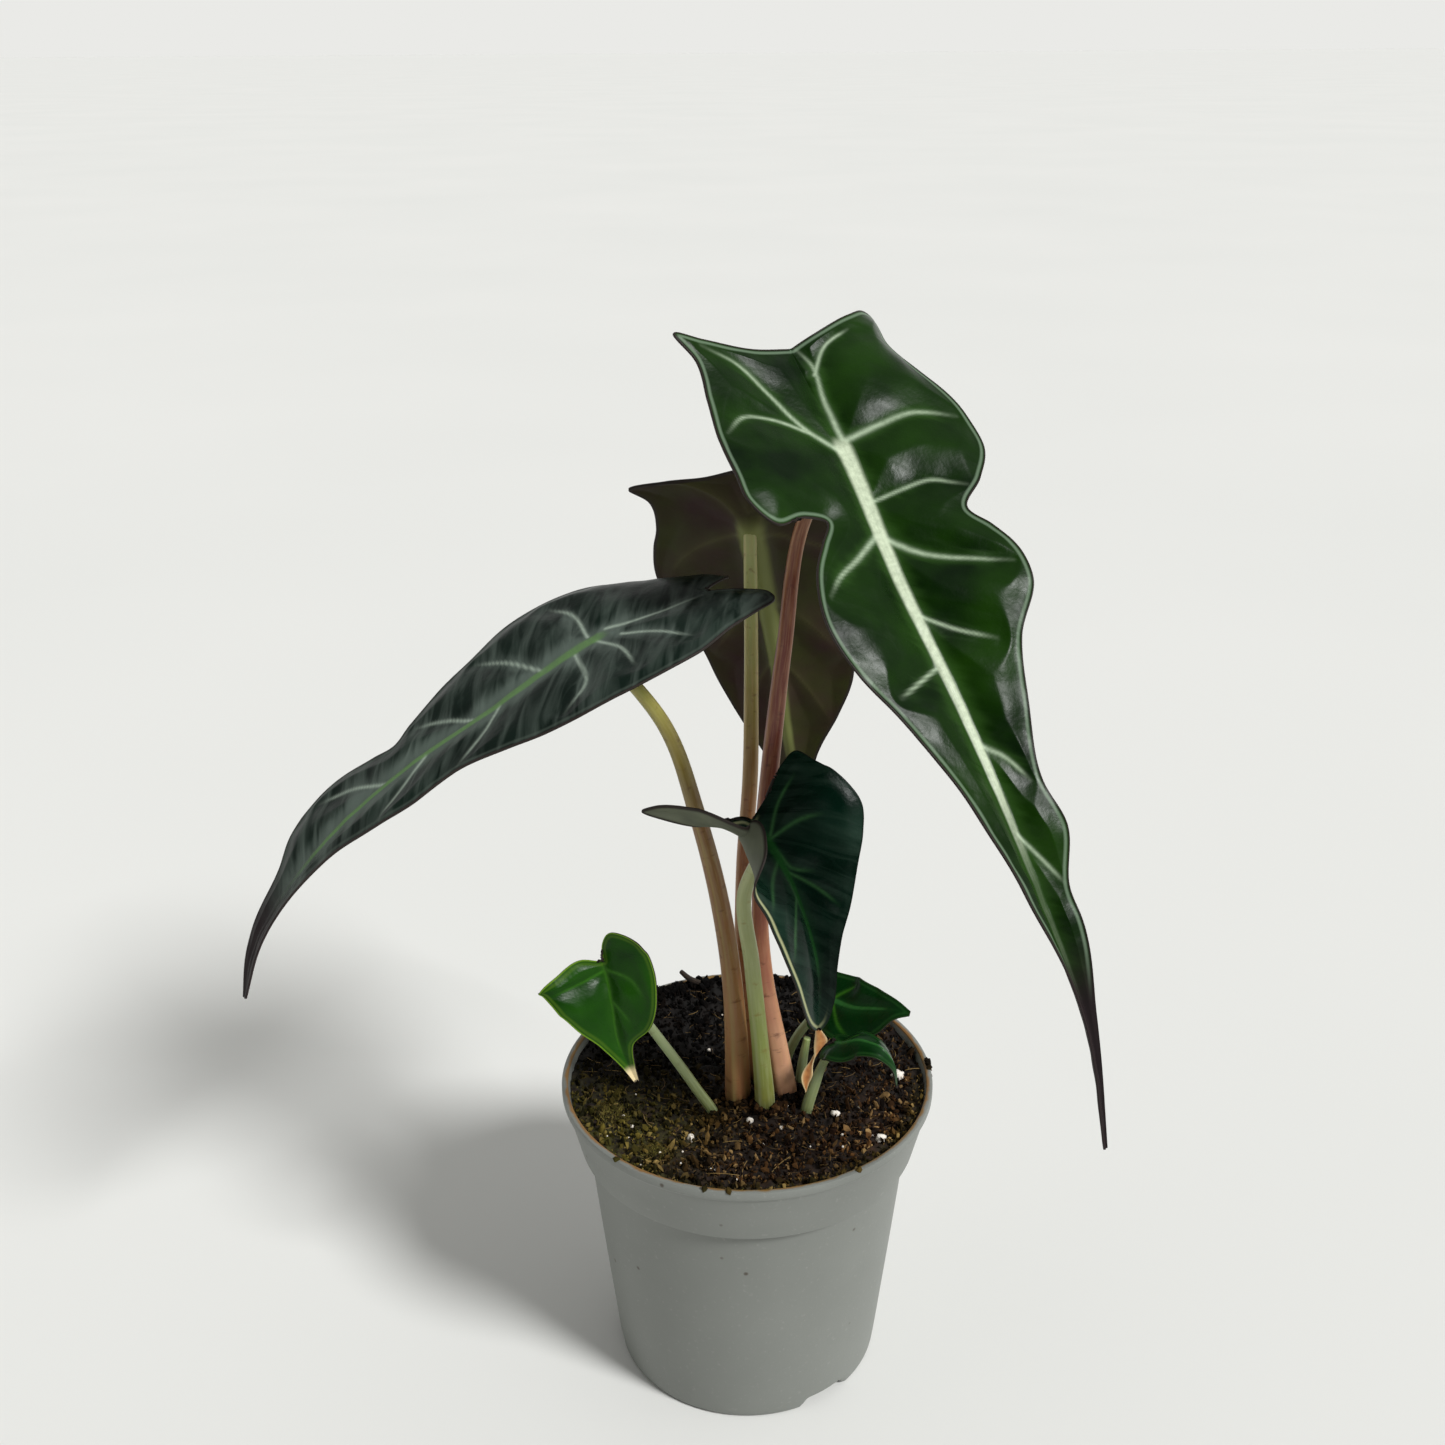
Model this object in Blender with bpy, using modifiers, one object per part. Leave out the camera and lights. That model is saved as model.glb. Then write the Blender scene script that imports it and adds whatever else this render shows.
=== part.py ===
"""Potted alocasia: a young plant with arrow-shaped leaves in a 60 mm nursery pot.

Lengths below are in millimetres and angles in degrees; MM turns them into metres.
The origin is the centre of the pot's underside, with +Z up and the viewer's side at -Y.
Everything that grows is placed from the crown, the point on the pot's axis where the
stalks leave the soil.
"""

import math

import bmesh
import bpy
import numpy as np
from mathutils import Vector, noise

MM = 0.001
GAP = 0.3  # clearance between pieces that touch

# Pot
RIM_DIAMETER = 60.0
POT_HEIGHT = 52.0
POT_WALL = 1.0
POT_FLOOR = 1.0
COLLAR_HEIGHT = 10.7  # the flared band under the rim
COLLAR_DRAFT = 2.5  # how much narrower the collar is at its foot, on the radius
COLLAR_STEP = 1.4  # how far the wall is set in under the collar
BODY_TAPER = 4.2  # how much narrower the wall is at its foot, on the radius
LIP_HEIGHT = 1.4
LIP_REACH = 0.4  # how far the lip stands out over the collar
RIM_ROUND = 0.3
FOOT_ROUND = 0.8
NOTCH_COUNT = 3  # drainage notches in the foot of the wall
NOTCH_FIRST = -55.0
NOTCH_WIDTH = 9.5
NOTCH_HEIGHT = 1.4  # just over the floor, so that water runs out
NOTCH_DEPTH = 3.2

# Soil
CROWN_DEPTH = 3.0  # from the rim down to the crown
SOIL_EDGE_DEPTH = 1.4  # from the rim down to the soil's edge
SOIL_ROUGHNESS = 0.5
SOIL_LUMP = 7.0  # spacing of the lumps
SOIL_BACK_RISE = 0.9  # how much higher the soil stands at the back rim
SOIL_RINGS = 9

# Plant
BLADE_THICKNESS = 0.5
STALK_DEPTH = 6.0  # how deep the stalks reach under the crown
CAP_TILT = 0.9  # how far a stalk end's rim rises over its centre, as a share of its radius
ROOTSTOCK_RADIUS = 6.5
ROOTSTOCK_HEIGHT = 8.0
ROOTSTOCK_PLACE = (2.6, -2.4)
ROOTSTOCK_TAPER = 0.7  # its foot, as a share of its top
STALK_STEPS = 16
HOLE_TOP = 3.0  # the holes for the stalks end this far over the crown
BLADE_ROW_SPACING = 5.0  # along the margin
BLADE_FEWEST_ROWS = 12
BLADE_COLUMNS = 4  # from the midrib to one margin

# Stalks: points from the crown up, and the radius at each. The last point is under the blade's junction.
STALKS = {
    "petiole_left": dict(
        route=[
            (-1.5, -4, 0), (-1.7, -3.5, 10), (-2.2, -3, 20), (-4, -3, 35), (-7.5, -4.5, 52),
            (-12, -8, 68),
        ],
        radius=[2.0, 1.7, 1.5, 1.4, 1.25, 1.05, 0.9],
        blade="leaf_left",
    ),
    "petiole_back": dict(
        route=[(0.4, 1.6, 0), (-0.5, 2, 15), (-0.4, 4, 39), (0.6, 6, 53), (0.8, 8.5, 67)],
        radius=[1.6, 1.3, 1.15, 1.15, 1.05, 1.0],
        blade="leaf_back",
    ),
    "petiole_young": dict(
        route=[(2.8, -6.2, 0), (2, -6.5, 12), (0.6, -7.3, 28), (-0.5, -7.6, 40)],
        radius=[1.5, 1.25, 1.15, 1.05, 0.9],
        blade="leaf_young",
    ),
    "petiole_main": dict(
        route=[
            (6.3, -3, 0), (5.2, -2.4, 7), (2.7, -1, 22), (2, 0, 38), (3.5, 1, 57), (5.5, 2, 76),
            (8, 3, 94),
        ],
        radius=[1.7, 1.6, 1.25, 1.15, 1.3, 1.1, 1.0, 0.95],
        blade="leaf_main",
    ),
    "offset_left_petiole": dict(
        route=[(-5, -8.5, 0), (-8.2, -8.4, 6), (-15.5, -8.3, 18)],
        radius=[0.75, 0.75, 0.7, 0.5],
        blade="offset_left_leaf",
    ),
    "offset_right_petiole": dict(
        route=[(6, 3.8, 0), (8.2, 5, 6), (11.8, 5.6, 10.6)],
        radius=[0.8, 0.75, 0.7, 0.5],
        blade="offset_right_leaf",
    ),
    "offset_right_curled_petiole": dict(
        route=[(9.3, -7, 0), (10.6, -6.6, 5), (12, -6, 8.8)],
        radius=[0.85, 0.8, 0.65, 0.45],
        blade="offset_right_curled_leaf",
    ),
}
SHEATH_STUB = dict(route=[(8.8, 1.4, 0), (9.2, 1.3, 4.5), (9.8, 1.2, 8.5)], radius=[0.8, 0.7, 0.5])
TWIG = dict(route=[(-8, 26.4, 3.2), (-9.6, 26, 4.2), (-11.2, 25.6, 6)], radius=[0.45, 0.5, 0.4])

# Blades. axis: the midrib, from the notch between the lobes through the junction with the stalk to the drip
# tip, from the crown. face: the way the upper side looks at each point of the axis. Each half has the line
# its lobe follows behind the notch, and for every point from there to the tip how far it is folded up from
# the midrib, in degrees, and how much it curls, in degrees per mm. Its margin runs from the notch round
# the lobe to the tip: along the axis from the junction, out from the axis, and where the rib to it starts.
BLADES = {
    "leaf_main": dict(
        axis=[
            (6, 7, 118), (13, -3, 106), (19.5, -16, 92), (27.5, -27, 77), (36, -38, 58),
            (42.5, -45, 41), (46, -47, 24),
        ],
        face=[(0.3, -0.85, 0.4)] * 7,
        right=dict(
            back=[(2, 13, 129)],
            back_face=[(0.3, -0.85, 0.4)],
            fold=[10, 12, 12, 12, 12, 14, 20, 20],
            curl=[-4, -3, -1, 0, 0, 0, 0, 0],
            margin=[
                (-17, 0.3, -17), (-18.5, 5, -16.5), (-20.5, 11, -15), (-21.5, 16, -13.5), (-21, 18, -12),
                (-15, 16.8, -10), (-8, 17.5, -7), (0, 19.2, -3.5), (4.5, 19.3, -1), (9, 16.5, 3),
                (13.3, 12.8, 9),
                (17, 15, 13.5), (23, 16.9, 20), (27.5, 16.5, 25), (34, 11.6, 32), (42, 8.6, 41),
                (52, 6.2, 51.5),
                (58, 6.9, 57.5), (66, 4.2, 66), (70, 4.2, 70), (82, 1.8, 82), (101, 0.3, 101),
            ],
        ),
        left=dict(
            back=[(2, 13, 129)],
            back_face=[(0.3, -0.85, 0.4)],
            fold=[18, 18, 18, 18, 18, 45, 75, 70],
            curl=[0] * 8,
            margin=[
                (-17, 0.3, -17), (-17.4, 6, -16.5), (-19.6, 14, -15), (-20.8, 18.3, -13),
                (-16.6, 16.4, -11.5),
                (-11, 17.3, -9.5), (-4, 18.8, -6), (3, 19.4, -2.5), (8.4, 19.2, 1), (11.8, 16, 4),
                (10.8, 11, 6.5),
                (11.5, 7.8, 9), (14.5, 9.8, 12), (18, 12.4, 16), (24, 14.3, 22), (31, 12.8, 29),
                (38, 9.9, 36),
                (48, 6.9, 47), (58, 5, 57.5), (69, 3.2, 69), (82, 1.7, 82), (101, 0.3, 101),
            ],
        ),
    ),
    "leaf_left": dict(
        axis=[
            (-6, -4, 86.5), (-21, -10, 81.5), (-36.5, -16, 72.5), (-47, -19, 66), (-59.5, -22, 55),
            (-69.5, -23, 40), (-72, -23, 32),
        ],
        face=[(0, -0.25, 0.95)] * 7,
        right=dict(
            back=[(7.5, 2, 89)],
            back_face=[(0, -0.25, 0.95)],
            fold=[8, 8, 8, 8, 8, 10, 15, 15],
            curl=[0] * 8,
            margin=[
                (-17.3, 0.3, -17.3), (-21.5, 3, -16.8), (-24, 6, -16), (-23.8, 8.3, -14.5),
                (-20.5, 9.8, -13),
                (-15.5, 11.8, -10.5), (-10, 14.3, -7.5), (-1.5, 15, -2.5), (7, 13.8, 4),
                (13, 11.8, 11), (18, 9.8, 16.5),
                (24, 7.8, 23), (32.5, 8, 31), (38, 6.3, 37), (45, 4, 44.5), (52, 2.6, 52),
                (60, 1.7, 60), (68, 1, 68),
                (74.5, 0.3, 74.5),
            ],
        ),
        left=dict(
            back=[(7.5, 2, 89)],
            back_face=[(0, -0.25, 0.95)],
            fold=[-14, -12, -4, 0, 0, 5, 15, 15],
            curl=[-2, -2, -1.3, -0.9, -0.9, -0.9, 0, 0],
            margin=[
                (-17.3, 0.3, -17.3), (-21, 3, -16.8), (-23, 6, -16), (-22.5, 8.3, -14.5),
                (-19, 10.5, -12.5),
                (-13, 13, -9), (-6, 14.6, -5), (2, 14.8, 0), (9, 14.2, 6), (15, 13, 12.5), (22.5, 11.2, 21),
                (28.4, 8.2, 27.5), (31.6, 6, 31), (35, 7, 34.5), (40, 8.5, 39), (46.5, 8.3, 46),
                (51.5, 6.8, 51),
                (55, 4.3, 54.5), (64, 2.2, 64), (74.5, 0.3, 74.5),
            ],
        ),
    ),
    "leaf_back": dict(
        axis=[(-0.5, 8, 101), (0.8, 13, 91), (4, 21, 74), (7, 29, 52), (9.5, 34, 35.5), (11, 37, 23)],
        face=[(0.15, 0.9, 0.35)] * 6,
        right=dict(
            back=[(-2, 2, 109)],
            back_face=[(0.15, 0.9, 0.35)],
            fold=[5] * 7,
            curl=[-1, -1, 0, 0, 0, 0, 0],
            margin=[
                (-11, 0.3, -11), (-9, 6, -10.5), (-8.3, 12, -9.5), (-7, 17.5, -7), (-4, 15, -4.5),
                (1, 14.9, 0),
                (5.2, 16.3, 4.5), (10, 17.2, 9), (17, 16, 16), (27.5, 12.1, 26), (33, 10.7, 32),
                (41, 7.9, 40),
                (51, 4.2, 50), (60, 2.2, 60), (73, 0.3, 73),
            ],
        ),
        left=dict(
            back=[(-2, 2, 109)],
            back_face=[(0.15, 0.9, 0.35)],
            fold=[5] * 7,
            curl=[-1, -1, 0, 0, 0, 0, 0],
            margin=[
                (-11, 0.3, -11), (-10, 6, -10.5), (-10, 12, -9.5), (-8.5, 17, -7), (-4, 16, -4.5),
                (1, 15.5, 0),
                (5.2, 16.3, 4.5), (10, 17.2, 9), (17, 16, 16), (27.5, 12.8, 26), (34, 11.8, 33),
                (41, 9, 40),
                (50.7, 4.2, 50), (60, 2.2, 60), (73, 0.3, 73),
            ],
        ),
    ),
    "leaf_young": dict(
        axis=[(0.5, -9.5, 53.5), (3, -11, 50.5), (7.5, -15, 42), (10, -19, 33), (10, -21.5, 25.5)],
        face=[(0.45, -0.8, 0.4)] * 5,
        right=dict(
            back=[(-5, -6, 61)],
            back_face=[(0.45, -0.8, 0.4)],
            fold=[15] * 6,
            curl=[0] * 6,
            margin=[
                (-4.2, 0.3, -4.2), (-6, 4.5, -4), (-8.5, 8.5, -3.7), (-9, 11, -3.3), (-6, 12.7, -2.5),
                (-2, 14.2, -1),
                (1.9, 14.8, 1), (4.7, 13, 4), (7.7, 10.5, 7), (12.8, 7, 12), (16.1, 4.6, 15.5), (20, 3, 20),
                (25, 2.2, 25), (27.8, 1.2, 27.8), (28.8, 0.3, 28.8),
            ],
        ),
        left=dict(
            back=[(-8, -11.5, 53.5), (-17, -11, 55.5)],
            back_face=[(0, -0.3, 0.95), (0, -0.3, 0.95)],
            fold=[75, 70, 35, 30, 38, 30, 30],
            curl=[0, 2, 6, 5, 0, 0, 0],
            margin=[
                (-4.2, 0.3, -4.2), (-8, 0.4, -4.1), (-15, 0.5, -4), (-20.5, 1.4, -3.9), (-19, 3, -3.6),
                (-13, 4.2, -3.2),
                (-7, 6, -2.6), (-2, 9, -1), (2, 10.5, 1), (5, 10.5, 4), (8, 10.5, 7), (13, 10, 12),
                (17, 8.8, 16.5),
                (22, 6.6, 22), (26, 4, 26), (28, 1.8, 28), (28.8, 0.3, 28.8),
            ],
        ),
    ),
    "offset_left_leaf": dict(
        axis=[
            (-22, -9.5, 30), (-21.5, -10, 28.5), (-20.5, -12, 24), (-19.5, -14, 18), (-18, -15, 14.5),
            (-17, -15, 12),
        ],
        face=[(-0.1, -0.85, 0.5)] * 6,
        right=dict(
            back=[(-23, -7, 40)],
            back_face=[(-0.1, -0.85, 0.5)],
            fold=[25] * 7,
            curl=[0] * 7,
            margin=[
                (-1.6, 0.3, -1.6), (-4, 0.6, -1.5), (-6, 2, -1.3), (-6, 4.5, -1), (-4.5, 7, -0.7),
                (-1.5, 8, 0),
                (2, 8.4, 1), (5.5, 7.8, 4), (9, 6, 8), (12.3, 2.2, 12), (15, 1.1, 15), (18.5, 0.3, 18.5),
            ],
        ),
        left=dict(
            back=[(-23, -7, 40)],
            back_face=[(-0.1, -0.85, 0.5)],
            fold=[25] * 7,
            curl=[0] * 7,
            margin=[
                (-1.6, 0.3, -1.6), (-2.6, 3, -1.5), (-1.8, 7, -1.3), (-0.3, 10.8, -1), (2, 10, 0),
                (4.8, 8.4, 2.5),
                (8, 6, 6), (11, 2.8, 10.5), (14.5, 1.1, 14.5), (18.5, 0.3, 18.5),
            ],
        ),
    ),
    "offset_right_leaf": dict(
        axis=[
            (12, 4, 14.5), (14, 3, 14.5), (17, 1, 14.5), (20.5, -1, 15.5), (23.5, -3, 16.5),
            (25.5, -4, 16.5),
        ],
        face=[(0, -0.8, 0.6)] * 6,
        right=dict(
            back=[(5, 7, 13.5)],
            back_face=[(0, -0.8, 0.6)],
            fold=[5] * 7,
            curl=[0] * 7,
            margin=[
                (-2.2, 0.3, -2.2), (-4, 2.5, -2), (-3.5, 4.5, -1.5), (0, 4.6, 0), (4, 4.8, 3), (8, 3.2, 7),
                (11.5, 1.5, 11), (13.9, 0.3, 13.9),
            ],
        ),
        left=dict(
            back=[(5, 7, 13.5)],
            back_face=[(0, -0.8, 0.6)],
            fold=[5] * 7,
            curl=[0] * 7,
            margin=[
                (-2.2, 0.3, -2.2), (-4, 2.5, -2), (-3.5, 5, -1.5), (0, 5.5, 0), (4, 6, 3), (8, 4.2, 7),
                (11.5, 1.5, 11), (13.9, 0.3, 13.9),
            ],
        ),
    ),
    "offset_right_curled_leaf": dict(
        axis=[
            (13.5, -7, 13.5), (14.5, -8, 14), (17.5, -9.5, 15.5), (20.5, -11, 15), (22.5, -12, 12.5),
            (23, -12.5, 9),
        ],
        face=[
            (0, -0.3, 1), (0, -0.3, 1), (0, -0.3, 1), (0.4, -0.3, 0.9), (0.8, -0.3, 0.4),
            (0.9, -0.3, 0.1),
        ],
        right=dict(
            back=[(9, -4, 12)],
            back_face=[(0, -0.3, 1)],
            fold=[-25] * 7,
            curl=[0] * 7,
            margin=[
                (-1.4, 0.3, -1.4), (-3, 1.5, -1.2), (-3, 3, -1), (0, 3.6, 0), (4, 3, 3.5), (8, 2, 8),
                (11, 1, 11),
                (14.2, 0.3, 14.2),
            ],
        ),
        left=dict(
            back=[(9, -4, 12)],
            back_face=[(0, -0.3, 1)],
            fold=[-12] * 7,
            curl=[0] * 7,
            margin=[
                (-1.4, 0.3, -1.4), (-3, 1.5, -1.2), (-3, 3, -1), (0, 3.6, 0), (4, 3, 3.5), (8, 2, 8),
                (11, 1, 11),
                (14.2, 0.3, 14.2),
            ],
        ),
    ),
}

# Small pieces lying on the soil: place across, place forwards, radius.
PERLITE_GRAINS = [
    (13.9, -8.4, 0.8), (24.6, 0.5, 1.2), (20.4, -15.6, 0.9), (0.3, -9.8, 0.7), (-9, -14.5, 0.8),
]
MOSS_CUSHIONS = [(-21.5, -8.5, 3.2), (-14.5, -18.5, 2.8)]
MOSS_FLATNESS = 0.3

COLOURS = {
    "pot_grey": ((0.25, 0.26, 0.24, 1), 0.55),
    "soil_brown": ((0.02, 0.012, 0.007, 1), 0.95),
    "rootstock_brown": ((0.18, 0.09, 0.05, 1), 0.8),
    "stalk_olive": ((0.28, 0.2, 0.08, 1), 0.5),
    "stalk_red": ((0.2, 0.05, 0.035, 1), 0.5),
    "stalk_green": ((0.25, 0.3, 0.1, 1), 0.5),
    "perlite_white": ((0.75, 0.7, 0.6, 1), 0.9),
    "moss_green": ((0.1, 0.1, 0.02, 1), 0.95),
    "twig_black": ((0.02, 0.015, 0.01, 1), 0.9),
    "dried_orange": ((0.45, 0.2, 0.05, 1), 0.7),
    "blade_green": ((0.012, 0.035, 0.012, 1), 0.3),
    "blade_young_green": ((0.03, 0.09, 0.01, 1), 0.35),
    "blade_purple": ((0.04, 0.025, 0.015, 1), 0.5),
}


def smooth_curve(knots, values, at):
    """The cubic curve through values at the knots, read at the places in at."""
    knots = np.asarray(knots, float)
    values = np.asarray(values, float)
    slopes = np.gradient(values, knots, axis=0)
    at = np.clip(np.asarray(at, float), knots[0], knots[-1])
    i = np.clip(np.searchsorted(knots, at) - 1, 0, len(knots) - 2)
    span = knots[i + 1] - knots[i]
    s = (at - knots[i]) / span
    if values.ndim > 1:
        span = span[:, None]
        s = s[:, None]
    start = (2 * s**3 - 3 * s**2 + 1) * values[i] + (s**3 - 2 * s**2 + s) * span * slopes[i]
    return start + (3 * s**2 - 2 * s**3) * values[i + 1] + (s**3 - s**2) * span * slopes[i + 1]


def lengths_along(points):
    steps = np.linalg.norm(np.diff(np.asarray(points, float), axis=0), axis=1)
    return np.concatenate([[0.0], np.cumsum(steps)])


def unit(vectors):
    return vectors / np.linalg.norm(vectors, axis=-1, keepdims=True)


class HalfBlade:
    """One half of a blade: takes places on the flat leaf, along and out from the midrib, into space."""

    def __init__(self, blade, side):
        half = blade[side]
        self.sign = 1 if side == "right" else -1
        self.points = np.array(half["back"][::-1] + blade["axis"], float)
        self.faces = np.array(half["back_face"][::-1] + blade["face"], float)
        along = lengths_along(self.points)
        self.along = along - along[len(half["back"]) + 1]
        self.fold = half["fold"]
        self.curl = half["curl"]
        self.margin = np.array(half["margin"], float)

    def frame(self, along):
        reach = 0.2
        inner = np.clip(along, self.along[0] + reach, self.along[-1] - reach)
        at = smooth_curve(self.along, self.points, along)
        ahead = smooth_curve(self.along, self.points, inner + reach)
        behind = smooth_curve(self.along, self.points, inner - reach)
        tangent = unit(ahead - behind)
        face = smooth_curve(self.along, self.faces, along)
        normal = unit(face - (face * tangent).sum(1)[:, None] * tangent)
        return at, normal, np.cross(normal, tangent)

    def place(self, along, out):
        at, normal, across = self.frame(along)
        fold = np.radians(smooth_curve(self.along, self.fold, along))
        curl = np.radians(smooth_curve(self.along, self.curl, along))
        curl = np.where(abs(curl) < 1e-5, 1e-5, curl)
        end = fold + curl * out
        reach = (np.sin(end) - np.sin(fold)) / curl
        rise = (np.cos(fold) - np.cos(end)) / curl
        return at + across * (self.sign * reach)[:, None] + normal * rise[:, None]

    def margin_length(self):
        return lengths_along(self.margin[:, :2])[-1]

    def grid(self, rows, columns):
        """Points by row from the notch to the tip, and in each row from the midrib to the margin."""
        length = lengths_along(self.margin[:, :2])
        edge = smooth_curve(length, self.margin, np.linspace(0, length[-1], rows))
        share = np.linspace(0, 1, columns + 1)
        along = edge[:, 2:3] + (edge[:, 0:1] - edge[:, 2:3]) * share
        out = edge[:, 1:2] * share
        return self.place(along.ravel(), out.ravel()).reshape(rows, columns + 1, 3)


def clear_scene():
    for obj in list(bpy.data.objects):
        bpy.data.objects.remove(obj, do_unlink=True)


def new_collection(name, hidden=False):
    collection = bpy.data.collections.new(name)
    collection.hide_render = hidden
    bpy.context.scene.collection.children.link(collection)
    return collection


def make_material(name, colour, roughness):
    material = bpy.data.materials.new(name)
    material.use_nodes = True
    shader = material.node_tree.nodes["Principled BSDF"]
    shader.inputs["Base Color"].default_value = colour
    shader.inputs["Roughness"].default_value = roughness
    shader.inputs["Metallic"].default_value = 0.0
    return material


def add_object(name, data, collection, material=None):
    obj = bpy.data.objects.new(name, data)
    collection.objects.link(obj)
    if material:
        obj.data.materials.append(material)
    return obj


def cut(obj, cutter):
    modifier = obj.modifiers.new("Cut", "BOOLEAN")
    modifier.object = cutter
    modifier.operation = "DIFFERENCE"


def hide_cutter(obj):
    obj.hide_render = True
    obj.display_type = "WIRE"
    return obj


def turned(name, profile, collection, material, steps):
    """A solid turned from a closed profile of (radius, height), running down its outer side."""
    mesh = bpy.data.meshes.new(name)
    points = [(r * MM, 0, z * MM) for r, z in profile]
    mesh.from_pydata(points, [(i, i + 1) for i in range(len(points) - 1)], [])
    obj = add_object(name, mesh, collection, material)
    screw = obj.modifiers.new("Screw", "SCREW")
    screw.steps = steps
    screw.render_steps = steps
    screw.use_merge_vertices = True
    screw.merge_threshold = 0.00001
    screw.use_smooth_shade = True
    return obj


def tube(name, points, radii, collection, material=None):
    """A round stalk along points, with its own radius at each and closed ends."""
    curve = bpy.data.curves.new(name, "CURVE")
    curve.dimensions = "3D"
    curve.bevel_depth = MM
    curve.bevel_resolution = 3
    curve.use_fill_caps = True
    spline = curve.splines.new("POLY")
    spline.points.add(len(points) - 1)
    for point, place, radius in zip(spline.points, points, radii):
        point.co = (*(Vector(place) * MM), 1)
        point.radius = radius
    return add_object(name, curve, collection, material)


def as_mesh(obj):
    """The same object as a mesh with its caps welded, for cutting with."""
    bpy.context.view_layer.update()
    evaluated = obj.evaluated_get(bpy.context.evaluated_depsgraph_get())
    mesh = bpy.data.meshes.new_from_object(evaluated)
    bm = bmesh.new()
    bm.from_mesh(mesh)
    bmesh.ops.remove_doubles(bm, verts=bm.verts, dist=0.00001)
    bmesh.ops.recalc_face_normals(bm, faces=bm.faces)
    bm.to_mesh(mesh)
    bm.free()
    solid = bpy.data.objects.new(obj.name, mesh)
    solid.matrix_world = obj.matrix_world
    obj.users_collection[0].objects.link(solid)
    bpy.data.objects.remove(obj)
    return solid


def pot_radii():
    rim = RIM_DIAMETER / 2
    collar_foot = rim - COLLAR_DRAFT
    wall_top = collar_foot - COLLAR_STEP
    return rim, collar_foot, wall_top, wall_top - BODY_TAPER


def pot_inside(height, clearance):
    """The pot's inner radius at a height, less a clearance."""
    rim, collar_foot, wall_top, foot = pot_radii()
    shelf = POT_HEIGHT - COLLAR_HEIGHT
    if height < shelf:
        outer = foot + (wall_top - foot) * height / shelf
    else:
        outer = collar_foot + (rim - collar_foot) * (height - shelf) / COLLAR_HEIGHT
    return outer - POT_WALL - clearance


def make_pot(collection, cutters, material):
    rim, collar_foot, wall_top, foot = pot_radii()
    shelf = POT_HEIGHT - COLLAR_HEIGHT
    lip_foot = POT_HEIGHT - LIP_HEIGHT
    profile = [
        (rim - POT_WALL, POT_HEIGHT - RIM_ROUND),
        (rim - POT_WALL + RIM_ROUND, POT_HEIGHT),
        (rim - RIM_ROUND, POT_HEIGHT),
        (rim, POT_HEIGHT - RIM_ROUND),
        (rim, lip_foot),
        (rim - LIP_REACH, lip_foot - LIP_REACH),
        (collar_foot, shelf + RIM_ROUND),
        (collar_foot - RIM_ROUND, shelf),
        (wall_top, shelf),
        (foot, FOOT_ROUND),
        (foot - FOOT_ROUND * 0.3, FOOT_ROUND * 0.3),
        (foot - FOOT_ROUND, 0),
        (0, 0),
    ]
    inside = [
        (0, POT_FLOOR),
        (pot_inside(POT_FLOOR, FOOT_ROUND), POT_FLOOR),
        (pot_inside(POT_FLOOR + FOOT_ROUND, 0), POT_FLOOR + FOOT_ROUND),
        (wall_top - POT_WALL, shelf + POT_WALL - RIM_ROUND),
        (collar_foot - RIM_ROUND - POT_WALL, shelf + POT_WALL),
    ]
    pot = turned("pot", profile + inside + [profile[0]], collection, material, steps=64)
    for index in range(NOTCH_COUNT):
        angle = math.radians(NOTCH_FIRST + 360 * index / NOTCH_COUNT)
        bpy.ops.mesh.primitive_cube_add(size=1)
        notch = bpy.context.object
        notch.name = f"notch_cutter_{index}"
        notch.scale = Vector((NOTCH_DEPTH, NOTCH_WIDTH, 2 * NOTCH_HEIGHT)) * MM
        notch.rotation_euler = (0, 0, angle)
        notch.location = Vector((math.cos(angle), math.sin(angle), 0)) * (foot - POT_WALL) * MM
        for owner in notch.users_collection:
            owner.objects.unlink(notch)
        cutters.objects.link(notch)
        hide_cutter(notch)
        cut(pot, notch)
    return pot


def crown_height():
    return POT_HEIGHT - CROWN_DEPTH


def soil_height(x, y):
    """The soil's surface: a slight mound at the crown, higher towards the back rim, lumpy all over."""
    edge_radius = pot_inside(POT_HEIGHT - SOIL_EDGE_DEPTH, GAP)
    share = min(1.0, math.hypot(x, y) / edge_radius)
    back = max(0.0, y / edge_radius)
    level = crown_height() + (CROWN_DEPTH - SOIL_EDGE_DEPTH) * share**2 + SOIL_BACK_RISE * back * share
    lumps = noise.noise(Vector((x, y, 0)) / SOIL_LUMP)
    return level + SOIL_ROUGHNESS * lumps


def make_soil(collection, material):
    """The soil as it fills the pot: a turned body whose top rings are raised to the soil's surface."""
    top = POT_HEIGHT - SOIL_EDGE_DEPTH
    shelf = POT_HEIGHT - COLLAR_HEIGHT
    _, collar_foot, wall_top, _ = pot_radii()
    edge = pot_inside(top, GAP)
    surface = [(edge * i / SOIL_RINGS, top) for i in range(SOIL_RINGS)]
    side = [
        (edge, top),
        (collar_foot - RIM_ROUND - POT_WALL - GAP, shelf + POT_WALL + GAP),
        (wall_top - POT_WALL - GAP, shelf + POT_WALL - RIM_ROUND),
        (pot_inside(POT_FLOOR + GAP, GAP + FOOT_ROUND), POT_FLOOR + GAP),
        (0, POT_FLOOR + GAP),
    ]
    soil = turned("soil", surface + side, collection, material, steps=44)
    soil = as_mesh(soil)
    soil.name = "soil"
    for vertex in soil.data.vertices:
        x, y, z = vertex.co / MM
        if z > top - 0.01:
            vertex.co.z = soil_height(x, y) * MM
    return soil


def crown_points(points):
    """Points given from the crown, in the pot's own frame."""
    return np.asarray(points, float) + (0, 0, crown_height())


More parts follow.
